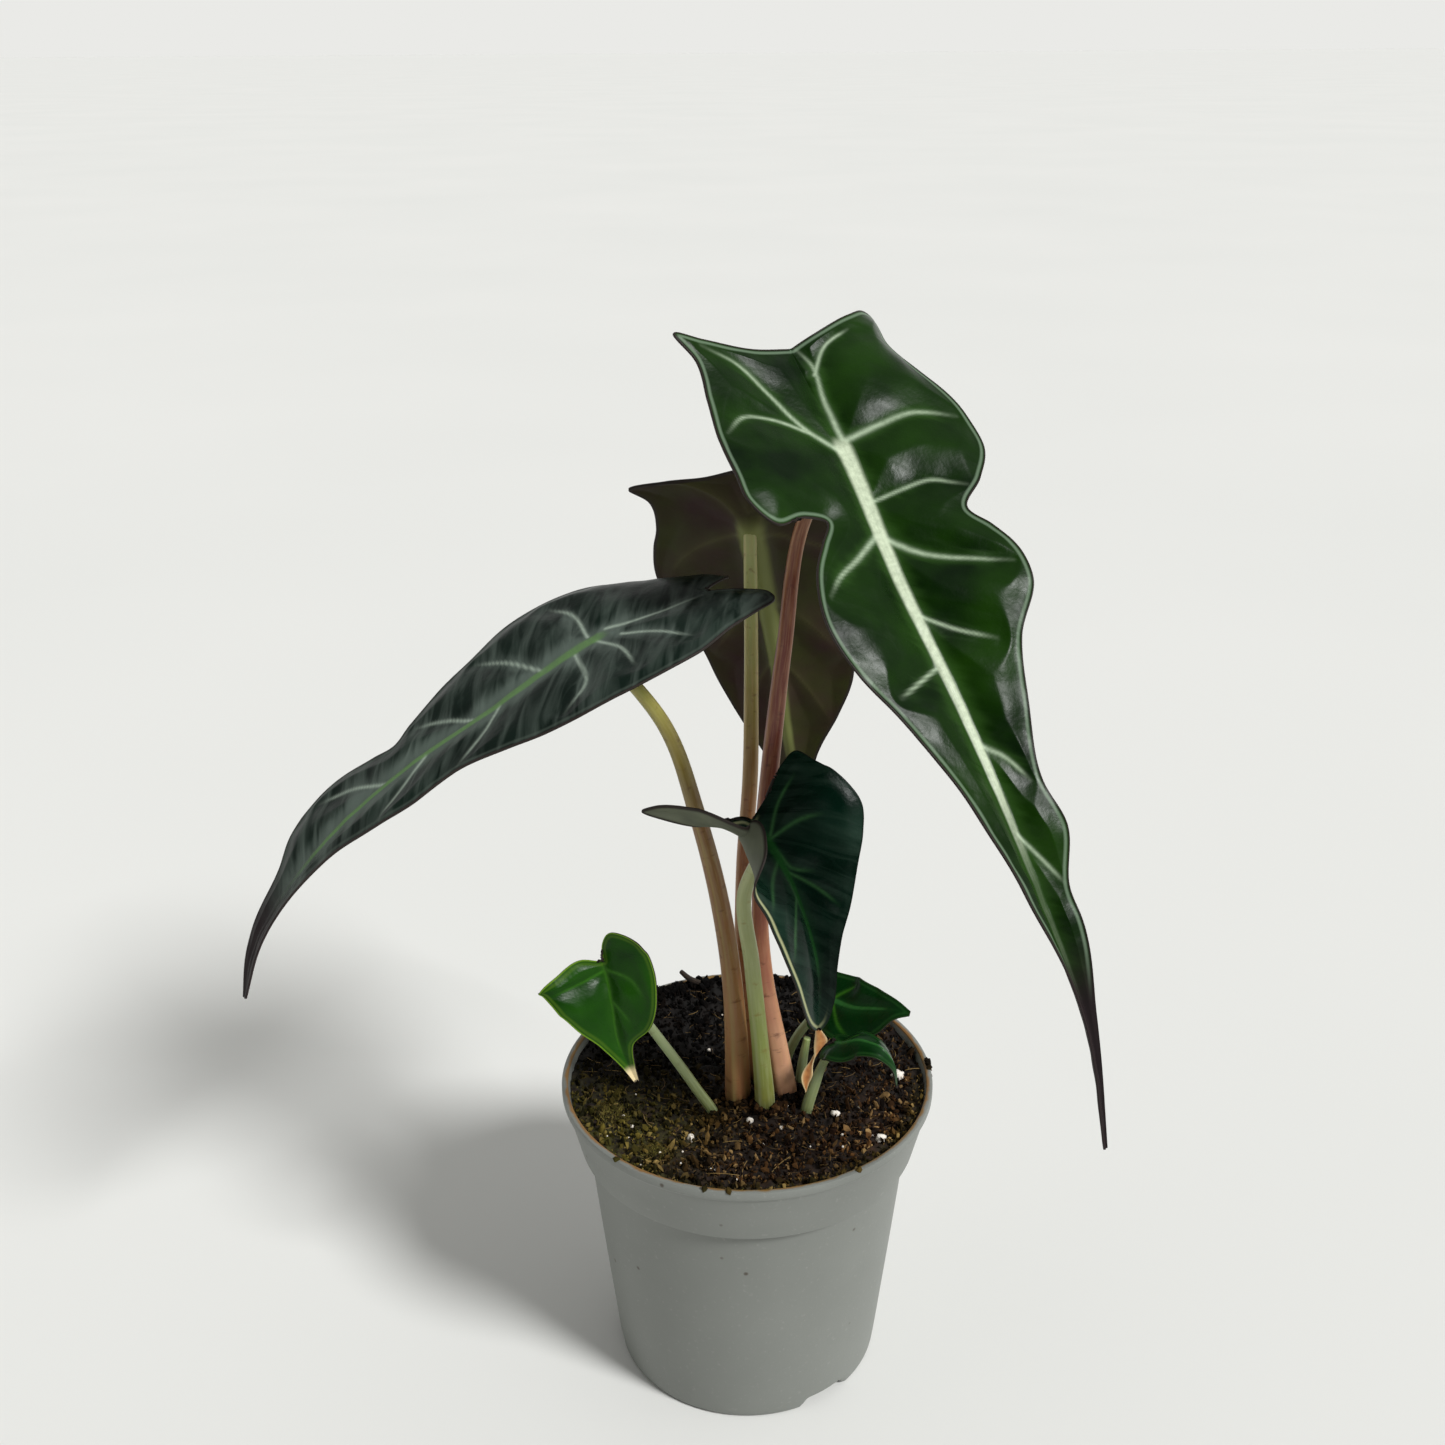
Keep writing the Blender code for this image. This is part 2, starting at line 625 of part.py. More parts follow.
def blade_underside(blade_name, radius):
    """Where a stalk of this radius ends, just clear of its blade's underside at the junction."""
    blade = BLADES[blade_name]
    half = HalfBlade(blade, "right")
    at, normal, _ = half.frame(np.array([0.0]))
    return at[0] - normal[0] * (BLADE_THICKNESS + GAP + radius * CAP_TILT)


def stalk_points(stalk):
    """Places and radii along a stalk, from its seat under the soil to its blade."""
    route = [tuple(point) for point in stalk["route"]]
    radius = list(stalk["radius"])
    if "blade" in stalk:
        route.append(tuple(blade_underside(stalk["blade"], radius[-1])))
    x, y, z = route[0]
    buried = [(x, y, z - STALK_DEPTH), (x, y, z - STALK_DEPTH + 1)]
    along = lengths_along(route)
    at = np.linspace(0, along[-1], STALK_STEPS)
    points = np.concatenate([buried, smooth_curve(along, route, at)])
    radii = np.concatenate([[radius[0]] * 2, smooth_curve(along, radius, at)])
    return crown_points(points), radii


def make_stalk(name, stalk, collection, cutters, material):
    points, radii = stalk_points(stalk)
    tube(name, points, radii, collection, material)
    low = points[:, 2] < crown_height() + HOLE_TOP
    last = int(np.argmin(low)) + 1
    bottom = points[0] - (0, 0, GAP)
    cutter_points = np.concatenate([[bottom], points[1:last]])
    cutter_radii = np.concatenate([[radii[0]], radii[1:last]]) + GAP
    cutter = as_mesh(tube(f"{name}_hole", cutter_points, cutter_radii, cutters))
    return hide_cutter(cutter)


def make_rootstock(collection, cutters, material):
    """The buried rootstock that the stalks stand on, and the space for it in the soil."""
    centre = Vector((*ROOTSTOCK_PLACE, crown_height() - STALK_DEPTH - GAP - ROOTSTOCK_HEIGHT / 2))
    solids = []
    for name, grow, owner in (("rootstock", 0, collection), ("rootstock_space", GAP, cutters)):
        mesh = bpy.data.meshes.new(name)
        bm = bmesh.new()
        bmesh.ops.create_cone(
            bm,
            cap_ends=True,
            segments=24,
            radius1=(ROOTSTOCK_RADIUS * ROOTSTOCK_TAPER + grow) * MM,
            radius2=(ROOTSTOCK_RADIUS + grow) * MM,
            depth=(ROOTSTOCK_HEIGHT + 2 * grow) * MM,
        )
        bm.to_mesh(mesh)
        bm.free()
        obj = add_object(name, mesh, owner)
        obj.location = centre * MM
        solids.append(obj)
    solids[0].data.materials.append(material)
    return hide_cutter(solids[1])


def make_blade(name, blade, collection, material):
    """The upper surface of a blade as one grid from margin to margin, given its thickness by Solidify."""
    right_half = HalfBlade(blade, "right")
    rows = max(BLADE_FEWEST_ROWS, round(right_half.margin_length() / BLADE_ROW_SPACING))
    right = right_half.grid(rows, BLADE_COLUMNS)
    left = HalfBlade(blade, "left").grid(rows, BLADE_COLUMNS)
    points = crown_points(np.concatenate([left[:, :0:-1], right], axis=1))
    width = points.shape[1]
    bm = bmesh.new()
    bmesh.ops.create_grid(bm, x_segments=width - 1, y_segments=rows - 1, size=1)
    bm.verts.ensure_lookup_table()
    for vertex, place in zip(bm.verts, points.reshape(-1, 3) * MM):
        vertex.co = place
    mesh = bpy.data.meshes.new(name)
    bm.to_mesh(mesh)
    bm.free()
    mesh.shade_smooth()
    obj = add_object(name, mesh, collection, material)
    solidify = obj.modifiers.new("Solidify", "SOLIDIFY")
    solidify.thickness = BLADE_THICKNESS * MM
    solidify.offset = 1
    return obj


def make_dried_tip(collection, material):
    """The young blade's withered tip, a thin twisted strip hanging clear under the blade's own tip."""
    tip = Vector(BLADES["leaf_young"]["axis"][-1])
    drops = [(0, 0.2, -GAP - 0.9), (0.5, 0.5, -3), (-0.6, 1, -6), (-1.6, 1, -9), (-1.6, 1.5, -12)]
    points = crown_points([tip + Vector(drop) for drop in drops])
    along = lengths_along(points)
    at = np.linspace(0, along[-1], 12)
    radii = smooth_curve(along, [0.35, 0.9, 0.35, 0.8, 0.3], at)
    tube("leaf_young_dried_tip", smooth_curve(along, points, at), radii, collection, material)


def make_grains(collection, material):
    for index, (x, y, radius) in enumerate(PERLITE_GRAINS):
        ground = highest_soil(x, y, radius)
        bpy.ops.mesh.primitive_ico_sphere_add(subdivisions=2, radius=radius * MM)
        finish_small(f"perlite_grain_{index + 1}", (x, y, ground + GAP + radius), collection, material)


def make_moss(collection, material):
    for index, (x, y, radius) in enumerate(MOSS_CUSHIONS):
        height = radius * MOSS_FLATNESS
        ground = highest_soil(x, y, radius)
        bpy.ops.mesh.primitive_uv_sphere_add(segments=14, ring_count=8, radius=radius * MM)
        cushion = bpy.context.object
        for vertex in cushion.data.vertices:
            vertex.co.z *= MOSS_FLATNESS
        finish_small(f"moss_cushion_{index + 1}", (x, y, ground + GAP + height), collection, material)


def highest_soil(x, y, radius):
    """The highest soil under a round piece."""
    angles = [math.tau * i / 12 for i in range(12)]
    ring = [(x + math.cos(a) * radius, y + math.sin(a) * radius) for a in angles]
    return max(soil_height(*place) for place in ring + [(x, y)])


def finish_small(name, place, collection, material):
    obj = bpy.context.object
    obj.name = name
    obj.location = Vector(place) * MM
    obj.data.materials.append(material)
    obj.data.shade_smooth()
    for owner in obj.users_collection:
        owner.objects.unlink(obj)
    collection.objects.link(obj)


def build():
    clear_scene()
    plant = new_collection("potted_alocasia")
    cutters = new_collection("cutters", hidden=True)
    paint = {name: make_material(name, *values) for name, values in COLOURS.items()}
    make_pot(plant, cutters, paint["pot_grey"])
    soil = make_soil(plant, paint["soil_brown"])
    cut(soil, make_rootstock(plant, cutters, paint["rootstock_brown"]))
    stalk_paint = {
        "petiole_left": "stalk_olive",
        "petiole_back": "stalk_olive",
        "petiole_young": "stalk_green",
        "petiole_main": "stalk_red",
    }
    for name, stalk in STALKS.items():
        material = paint[stalk_paint.get(name, "stalk_green")]
        cut(soil, make_stalk(name, stalk, plant, cutters, material))
    cut(soil, make_stalk("sheath_stub", SHEATH_STUB, plant, cutters, paint["stalk_green"]))
    for name, blade in BLADES.items():
        kind = "blade_young_green" if name.startswith("offset") else "blade_green"
        make_blade(name, blade, plant, paint["blade_purple" if name == "leaf_back" else kind])
    make_dried_tip(plant, paint["dried_orange"])
    route = crown_points(TWIG["route"])
    tube("twig", route, TWIG["radius"], plant, paint["twig_black"])
    make_grains(plant, paint["perlite_white"])
    make_moss(plant, paint["moss_green"])


build()
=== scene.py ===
"""Potted alocasia: a young plant with arrow-shaped leaves in a grey nursery pot.

The file follows the plant as it is put together: the pot, the peat that fills it, the stalks,
then the blades from the back of the plant to the front. Lengths are in millimetres.
"""

import math
import random

import bpy
import numpy as np
from mathutils import Matrix, Vector, noise


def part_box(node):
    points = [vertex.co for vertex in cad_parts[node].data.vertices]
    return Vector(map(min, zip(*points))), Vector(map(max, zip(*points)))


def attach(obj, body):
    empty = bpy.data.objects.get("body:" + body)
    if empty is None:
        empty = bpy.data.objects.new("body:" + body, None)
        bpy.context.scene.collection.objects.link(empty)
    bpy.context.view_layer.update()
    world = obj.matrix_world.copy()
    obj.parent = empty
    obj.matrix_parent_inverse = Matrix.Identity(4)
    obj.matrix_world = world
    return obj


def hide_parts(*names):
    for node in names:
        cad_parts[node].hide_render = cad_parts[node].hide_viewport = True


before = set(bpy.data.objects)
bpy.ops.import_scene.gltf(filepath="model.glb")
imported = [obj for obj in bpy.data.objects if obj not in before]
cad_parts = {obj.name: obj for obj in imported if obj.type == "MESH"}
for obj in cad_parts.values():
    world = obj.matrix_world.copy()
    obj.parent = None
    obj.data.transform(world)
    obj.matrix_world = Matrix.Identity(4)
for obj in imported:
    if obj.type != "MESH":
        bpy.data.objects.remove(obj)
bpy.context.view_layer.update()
bpy.ops.object.select_all(action="DESELECT")

# Studio: a plain pale floor under soft light, with one large lamp to the front right and high
# up, and a camera a little over the plant that looks down on it.
MM = 0.001


def srgb(code):
    """An sRGB hex colour as the linear colour that a socket takes."""
    shares = [int(code[i : i + 2], 16) / 255 for i in (0, 2, 4)]
    return tuple(c / 12.92 if c <= 0.04045 else ((c + 0.055) / 1.055) ** 2.4 for c in shares) + (1,)


def add(tree, kind, settings=None, sockets=None):
    """Adds a node with its settings, and sets or links each socket named in sockets."""
    made = tree.nodes.new(kind)
    settings = dict(settings or {})
    stops = settings.pop("stops", None)
    for key, value in settings.items():
        setattr(made, key, value)
    if stops:
        ramp = made.color_ramp
        while len(ramp.elements) < len(stops):
            ramp.elements.new(1.0)
        for element, (place, colour) in zip(ramp.elements, stops):
            element.position = place
            element.color = srgb(colour) if isinstance(colour, str) else (colour, colour, colour, 1)
    for key, value in (sockets or {}).items():
        if isinstance(value, bpy.types.NodeSocket):
            tree.links.new(value, made.inputs[key])
        else:
            made.inputs[key].default_value = value
    return made


def new_material(name, roughness, ior):
    """A Principled material: its node tree and its shader."""
    material = bpy.data.materials.new(name)
    material.use_nodes = True
    shader = material.node_tree.nodes["Principled BSDF"]
    shader.inputs["Roughness"].default_value = roughness
    shader.inputs["IOR"].default_value = ior
    return material, material.node_tree, shader


def blend(tree, share, first, second):
    """Colour mixed from first to second by share; each is a colour or another node's output."""
    sockets = {0: share, 6: first, 7: second}
    return add(tree, "ShaderNodeMix", {"data_type": "RGBA"}, sockets).outputs[2]


def per(size):
    """The scale that gives a pattern features of this size in millimetres."""
    return 1 / (size * MM)


def place_of(tree):
    """Where a point is on its own object, in metres."""
    return add(tree, "ShaderNodeTexCoord").outputs["Object"]


def read(tree, key):
    """The number that store keeps under this name."""
    return add(tree, "ShaderNodeAttribute", {"attribute_name": key}).outputs["Fac"]


def cloudy(tree, spot, scale, detail=2.0):
    """Smooth noise from 0 to 1."""
    return add(
        tree, "ShaderNodeTexNoise", None, {"Vector": spot, "Scale": scale, "Detail": detail}
    ).outputs[0]


def shades(tree, value, stops):
    """A colour, or a share, that follows a value along its stops."""
    return add(tree, "ShaderNodeValToRGB", {"stops": stops}, {0: value}).outputs[0]


def ramp_up(tree, value, start, end):
    """0 up to start, 1 from end on."""
    return add(tree, "ShaderNodeMapRange", None, {0: value, 1: start, 2: end}).outputs[0]


def maths(tree, operation, *values, clamp=False):
    """One sum: the operation over its values."""
    settings = {"operation": operation, "use_clamp": clamp}
    return add(tree, "ShaderNodeMath", settings, dict(enumerate(values))).outputs[0]


def roughen(tree, shader, strength, depth, height):
    """Relief under the surface, its depth in millimetres."""
    sockets = {"Strength": strength, "Distance": depth * MM, "Height": height}
    tree.links.new(add(tree, "ShaderNodeBump", None, sockets).outputs[0], shader.inputs["Normal"])


bpy.context.scene.view_settings.view_transform = "Standard"

camera_data = bpy.data.cameras.new("camera")
camera_data.lens = 39.86
camera_data.sensor_width = 36
camera_data.clip_start = 0.01
camera_data.clip_end = 100
camera = bpy.data.objects.new("camera", camera_data)
bpy.context.scene.collection.objects.link(camera)
aim = Vector((-3.6, 0, 113.7)) * MM
tilt = math.radians(23.1)
roll = math.radians(-0.37)
back = Vector((0, -math.cos(tilt), math.sin(tilt)))
level = Vector((1, 0, 0))
upright = back.cross(level)
across = level * math.cos(roll) + upright * math.sin(roll)
upwards = upright * math.cos(roll) - level * math.sin(roll)
turned = Matrix((across, upwards, back)).transposed().to_4x4()
camera.matrix_world = Matrix.Translation(aim + back * 236 * MM) @ turned
bpy.context.scene.camera = camera

bpy.ops.mesh.primitive_plane_add(size=60, location=(0, 0, 0))
floor = bpy.context.object
floor.name = "floor"
paper, tree, shader = new_material("matt_paper_sweep", 0.9, 1.45)
spot = place_of(tree)
cloud = cloudy(tree, spot, per(300))
tint = blend(tree, cloud, srgb("DCDDDA"), srgb("E3E3E0"))
tree.links.new(tint, shader.inputs["Base Color"])
floor.data.materials.append(paper)


def lamp(name, source, spread, strength):
    """A soft distant lamp that shines from a direction, its disc spread over some degrees."""
    data = bpy.data.lights.new(name, "SUN")
    data.angle = math.radians(spread)
    data.energy = strength
    made = bpy.data.objects.new(name, data)
    bpy.context.scene.collection.objects.link(made)
    made.rotation_euler = Vector(source).to_track_quat("Z", "Y").to_euler()


lamp("key", (0.62, -0.5, 0.75), 14, 3.2)
world = bpy.data.worlds.new("studio")
world.use_nodes = True
sky = world.node_tree
spot = add(sky, "ShaderNodeTexCoord").outputs["Generated"]
direction = add(sky, "ShaderNodeSeparateXYZ", None, {0: spot})
stops = [(0.0, "EAEAE7"), (0.12, "EAEAE7"), (0.4, "B4B4B2"), (1.0, "BEBEBC")]
bright = shades(sky, direction.outputs["Z"], stops)
ahead = ramp_up(sky, direction.outputs["Y"], -0.1, -0.75)
over = ramp_up(sky, direction.outputs["Z"], 0.12, 0.3)
dim = maths(sky, "MULTIPLY", ahead, over)
room = blend(sky, dim, bright, srgb("3C3C3A"))
sky.links.new(room, sky.nodes["Background"].inputs["Color"])
bpy.context.scene.world = world

# Pot: thin grey polypropylene, injection moulded in one piece with a lip, a flared collar, a
# tapered wall and three drain notches lifted into its foot. Stained where peat and water meet it.
pot_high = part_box("pot")[1]
RIM = pot_high.x / MM
POT_HEIGHT = pot_high.z / MM
COLLAR_FOOT = RIM - 2.5
WALL_TOP = COLLAR_FOOT - 1.4
FOOT = WALL_TOP - 4.2
SHELF = POT_HEIGHT - 10.7
POT_WALL = 1.0
POT_RINGS = [
    (FOOT - 3.4, 0.45), (FOOT - 3.0, 0.05), (FOOT - 2.6, 0), (FOOT - 0.8, 0), (FOOT - 0.5, 0.06),
    (FOOT - 0.24, 0.24), (FOOT - 0.06, 0.5), (FOOT, 0.8), (FOOT + 0.1, 1.5), (FOOT + 0.18, 2.2),
    (FOOT + 0.4, 4), (FOOT + 1.4, 13.5), (FOOT + 2.4, 23), (FOOT + 3.4, 33), (WALL_TOP - 0.06, SHELF - 0.5),
    (WALL_TOP, SHELF - 0.12), (WALL_TOP + 0.15, SHELF), (COLLAR_FOOT - 0.4, SHELF),
    (COLLAR_FOOT - 0.12, SHELF + 0.1), (COLLAR_FOOT, SHELF + 0.4), (COLLAR_FOOT + 1.0, SHELF + 4.6),
    (RIM - 0.52, POT_HEIGHT - 2.0), (RIM - 0.4, POT_HEIGHT - 1.75), (RIM - 0.1, POT_HEIGHT - 1.5),
    (RIM, POT_HEIGHT - 1.3), (RIM, POT_HEIGHT - 0.35), (RIM - 0.1, POT_HEIGHT - 0.1),
    (RIM - 0.35, POT_HEIGHT), (RIM - 0.75, POT_HEIGHT), (RIM - 0.95, POT_HEIGHT - 0.12),
    (RIM - 1.03, POT_HEIGHT - 0.4), (COLLAR_FOOT - POT_WALL + 0.1, SHELF + 1.4),
    (COLLAR_FOOT - POT_WALL - 0.3, SHELF + 0.9), (WALL_TOP - POT_WALL, SHELF + 0.6),
    (FOOT - POT_WALL + 0.1, 2.0), (FOOT - POT_WALL - 0.8, 1.0),
]
POT_AROUND = 240
NOTCH_PLACES = [-55, 65, 185]
NOTCH_HALF = 13.0  # degrees from a notch's middle to where it meets the floor
NOTCH_LIFT = 1.35

bpy.ops.mesh.primitive_circle_add(vertices=POT_AROUND, radius=POT_RINGS[0][0] * MM, fill_type="NGON")
pot = bpy.context.object
pot.name = "pot_shell"
bpy.ops.object.mode_set(mode="EDIT")
bpy.ops.transform.translate(value=(0, 0, POT_RINGS[0][1] * MM))
for (inner, low), (radius, height) in zip(POT_RINGS, POT_RINGS[1:]):
    bpy.ops.mesh.extrude_region_move()
    bpy.ops.transform.resize(value=(radius / inner, radius / inner, 1), center_override=(0, 0, 0))
    bpy.ops.transform.translate(value=(0, 0, (height - low) * MM))
bpy.ops.object.mode_set(mode="OBJECT")


def points_of(obj):
    points = np.empty(len(obj.data.vertices) * 3)
    obj.data.vertices.foreach_get("co", points)
    return points.reshape(-1, 3) / MM


def put_points(obj, points):
    obj.data.vertices.foreach_set("co", (np.asarray(points) * MM).ravel())
    obj.data.update()


def ease(value, low, high):
    """0 under low, 1 over high, and smooth between them."""
    share = np.clip((np.asarray(value, float) - low) / (high - low), 0, 1)
    return share * share * (3 - 2 * share)


where = points_of(pot)
bearing = np.degrees(np.arctan2(where[:, 1], where[:, 0]))
radius = np.hypot(where[:, 0], where[:, 1])
low_wall = 1 - ease(where[:, 2], 1.0, 2.2)
for place in NOTCH_PLACES:
    off = abs((bearing - place + 180) % 360 - 180)
    lift = (1 - ease(off, NOTCH_HALF * 0.62, NOTCH_HALF)) * NOTCH_LIFT * ease(radius, FOOT - 3.6, FOOT - 2.6)
    where[:, 2] = np.maximum(where[:, 2], np.where(radius > FOOT - 3.6, where[:, 2] + lift * low_wall, 0))
put_points(pot, where)
bpy.ops.object.mode_set(mode="EDIT")
bpy.ops.mesh.select_all(action="SELECT")
bpy.ops.mesh.normals_make_consistent(inside=False)
bpy.ops.object.mode_set(mode="OBJECT")
bpy.ops.object.shade_smooth_by_angle(angle=math.radians(40))

plastic, tree, shader = new_material("moulded_grey_polypropylene", 0.5, 1.49)
spot = place_of(tree)
mottle = cloudy(tree, spot, per(14), 4.0)
tint = blend(tree, mottle, srgb("727570"), srgb("7D807B"))
fine = cloudy(tree, spot, per(0.7), 3.0)
dust = shades(tree, fine, [(0.62, 0.0), (0.75, 0.35)])
tint = blend(tree, dust, tint, srgb("92948E"))
# Peat splashes: dark specks of about 0.5 mm, one in a few cells 4 mm apart.
cells = add(tree, "ShaderNodeTexVoronoi", None, {"Vector": spot, "Scale": per(4.2)})
few = add(tree, "ShaderNodeSeparateColor", None, {0: cells.outputs["Color"]})
chosen = maths(tree, "GREATER_THAN", few.outputs[0], 0.8)
near = shades(tree, cells.outputs["Distance"], [(0.05, 1.0), (0.11, 0.0)])
speck = maths(tree, "MULTIPLY", chosen, near)
tint = blend(tree, speck, tint, srgb("4A443A"))
# The stain keeps to the inner edge of the lip and runs a little down inside it.
height = add(tree, "ShaderNodeSeparateXYZ", None, {0: spot}).outputs["Z"]
flat = add(tree, "ShaderNodeVectorMath", {"operation": "MULTIPLY"}, {0: spot, 1: (1, 1, 0)})
reach = add(tree, "ShaderNodeVectorMath", {"operation": "LENGTH"}, {0: flat.outputs[0]}).outputs["Value"]
ragged = cloudy(tree, spot, per(3), 5.0)
drift = maths(tree, "MULTIPLY_ADD", ragged, -0.0012, reach)
inner = ramp_up(tree, drift, (RIM - 1.0) * MM, (RIM - 1.35) * MM)
above = ramp_up(tree, height, (POT_HEIGHT - 0.5) * MM, (POT_HEIGHT - 0.2) * MM)
patchy = maths(tree, "MULTIPLY", inner, above)
tint = blend(tree, patchy, tint, blend(tree, mottle, srgb("5E5426"), srgb("925F28")))
tree.links.new(tint, shader.inputs["Base Color"])
roughen(tree, shader, 0.25, 0.05, fine)
pot.data.materials.append(plastic)
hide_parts("pot")
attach(pot, "root")

# Peat: dark, damp and crumbly, pressed into the pot by hand, a little higher along the back rim.
# Its surface has dried brown at the front, where algae have greened it; the back is darkened with painted
# shade.
CROWN = POT_HEIGHT - 3.0
PEAT_RADIUS = RIM - 1.25
PEAT_GRID = 200


def fractal(x, y, size, octaves=3):
    """Smooth noise of about -1 to 1 with lumps of this size."""
    total = 0.0
    for octave in range(octaves):
        total += noise.noise(Vector((x / size + 7.1 * octave, y / size, 3.3 * octave))) / 2**octave
        size /= 2
    return total


def peat_height(x, y):
    """The surface of the peat over a place, without its crumbs."""
    share = min(1.0, math.hypot(x, y) / PEAT_RADIUS)
    heap = float(ease(y / PEAT_RADIUS, 0.3, 0.9)) * 1.5 + float(ease(-y / PEAT_RADIUS, 0.5, 1)) * 0.3
    rise = 1.5 * share**2 + heap * share**3
    mound = 0.5 * math.exp(-((x - 2) ** 2 + (y + 3) ** 2) / 60)
    return CROWN + rise + mound + 0.45 * fractal(x, y, 8.0) * (1.2 - share)


bpy.ops.mesh.primitive_grid_add(x_subdivisions=PEAT_GRID, y_subdivisions=PEAT_GRID, size=2)
peat = bpy.context.object
peat.name = "peat"
square = points_of(peat) * MM
side, front = square[:, 0], square[:, 1]
flat_x = side * np.sqrt(1 - front**2 / 2) * PEAT_RADIUS
flat_y = front * np.sqrt(1 - side**2 / 2) * PEAT_RADIUS
heights = []
for x, y in zip(flat_x, flat_y):
    calm = 1 - float(ease(math.hypot(x, y), PEAT_RADIUS - 1.5, PEAT_RADIUS)) * 0.6
    cells_at = noise.voronoi(Vector((x / 1.7, y / 1.7, 0)))[0][0]
    grit = 0.9 * (0.5 - cells_at) + 0.45 * fractal(x + 40, y, 1.3, 2)
    heights.append(peat_height(x, y) + grit * calm)
put_points(peat, np.stack([flat_x, flat_y, np.array(heights)], axis=1))
bpy.ops.object.mode_set(mode="EDIT")
bpy.ops.mesh.select_all(action="SELECT")
bpy.ops.mesh.region_to_loop()
last_radius, last_height, level_out = PEAT_RADIUS, CROWN + 1.5, 0.25
for radius, height in ((COLLAR_FOOT - 1.35, SHELF + 1.9), (WALL_TOP - 1.3, SHELF + 0.5), (FOOT - 1.2, 1.4)):
    shrink = radius / last_radius
    bpy.ops.mesh.extrude_region_move()
    bpy.ops.transform.resize(value=(shrink, shrink, level_out), center_override=(0, 0, last_height * MM))
    bpy.ops.transform.translate(value=(0, 0, (height - last_height) * MM))
    last_radius, last_height, level_out = radius, height, 0
bpy.ops.mesh.edge_face_add()
bpy.ops.mesh.select_all(action="SELECT")
bpy.ops.mesh.normals_make_consistent(inside=False)
bpy.ops.object.mode_set(mode="OBJECT")
bpy.ops.object.shade_smooth_by_angle(angle=math.radians(60))


def store(obj, name, values):
    """Keeps one number per vertex on a piece, for its material."""
    attribute = obj.data.attributes.new(name, "FLOAT", "POINT")
    attribute.data.foreach_set("value", np.asarray(values, np.float32))


# The peat is darkest behind the stalks, partly damp and partly painted shade, and browner at the front.
def dryness_and_light(x, y):
    return ease(-np.asarray(y), -6, 16) * 0.85 + ease(np.asarray(x), 8, 24) * 0.35


def peat_material(name, roughness):
    """Damp fibrous peat: near black where wet and in painted shade, brown and straw-flecked where it has
    dried.
    """
    material, tree, shader = new_material(name, roughness, 1.4)
    spot = place_of(tree)
    coarse = cloudy(tree, spot, per(2.2), 6.0)
    wet_and_shaded = shades(tree, coarse, [(0.3, "030201"), (0.7, "100905")])
    stops = [(0.3, "0C0603"), (0.55, "22140A"), (0.75, "3E2814")]
    dry_and_lit = shades(tree, coarse, stops)
    share = read(tree, "dry_and_lit")
    tint = blend(tree, share, wet_and_shaded, dry_and_lit)
    algae = read(tree, "green")
    patch = cloudy(tree, spot, per(1.3), 4.0)
    ramp = shades(tree, patch, [(0.4, 0.0), (0.62, 1.0)])
    share = maths(tree, "MULTIPLY", ramp, algae)
    tint = blend(tree, share, tint, srgb("3C3A12"))
    tree.links.new(tint, shader.inputs["Base Color"])
    roughen(tree, shader, 0.8, 0.4, coarse)
    return material


def greenness(x, y):
    """How much algae and moss there is: most at the front left, and along the rim."""
    x, y = np.asarray(x), np.asarray(y)
    patch = np.exp(-((x + 19) ** 2 + (y + 12) ** 2) / 130)
    rim = ease(np.hypot(x, y), PEAT_RADIUS - 3.5, PEAT_RADIUS) * ease(-y, -6, 8)
    return np.clip(patch + 0.6 * rim, 0, 1)


top = points_of(peat)
store(peat, "dry_and_lit", dryness_and_light(top[:, 0], top[:, 1]))
store(peat, "green", greenness(top[:, 0], top[:, 1]))
peat.data.materials.append(peat_material("damp_peat", 0.85))
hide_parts("soil")
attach(peat, "root")

# Crumbs, fibres and grains: what peat is made of, from dust to lumps of two millimetres, with
# dead sphagnum fibres and white perlite that was mixed in. Each kind is one shape, copied.
chance = random.Random(4)


def spin_matrix(flatness):
    """A random turn; flatness 1 keeps the shape's own Z upright."""
    axis = Vector((chance.gauss(0, 1), chance.gauss(0, 1), chance.gauss(0, 1))).normalized()
    up = Vector((0, 0, 1))
    lean = up.rotation_difference(up.lerp(axis, 1 - flatness).normalized())
    turn = chance.uniform(0, math.tau)
    spin = [[math.cos(turn), -math.sin(turn), 0], [math.sin(turn), math.cos(turn), 0], [0, 0, 1]]
    return np.array(lean.to_matrix(), float) @ np.array(spin)


def pattern_of(obj):
    """The points and faces of a shape that will be copied, which is then removed."""
    points = points_of(obj)
    faces = [tuple(face.vertices) for face in obj.data.polygons]
    bpy.data.objects.remove(obj, do_unlink=True)
    return points, faces


def scatter(name, patterns, copies, material, smooth=True):
    """One piece made of many copies. A copy is its pattern, place, matrix, jitter and tone."""
    points, faces, tones = [], [], []
    count = 0
    for kind, place, matrix, jitter, tone in copies:
        base, base_faces = patterns[kind]
        rough = np.array([1 + chance.uniform(-jitter, jitter) for _ in base])
        points.append((base * rough[:, None]) @ matrix.T + np.asarray(place, float))
        faces += [tuple(i + count for i in face) for face in base_faces]
        count += len(base)
        tones += [tone] * len(base)
    mesh = bpy.data.meshes.new(name)
    mesh.from_pydata((np.concatenate(points) * MM).tolist(), [], faces)
    piece = bpy.data.objects.new(name, mesh)
    bpy.context.scene.collection.objects.link(piece)
    if smooth:
        mesh.shade_smooth()
    store(piece, "tone", tones)
    where = points_of(piece)
    store(piece, "dry_and_lit", dryness_and_light(where[:, 0], where[:, 1]))
    store(piece, "green", greenness(where[:, 0], where[:, 1]))
    mesh.materials.append(material)
    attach(piece, "root")
    return piece


STALK_FEET = [
    (-1.5, -4, 2.4), (2.8, -6.2, 1.9), (6.3, -3, 2.1), (0.4, 1.6, 1.8), (-5, -8.5, 1.0), (6, 3.8, 1.0)
]


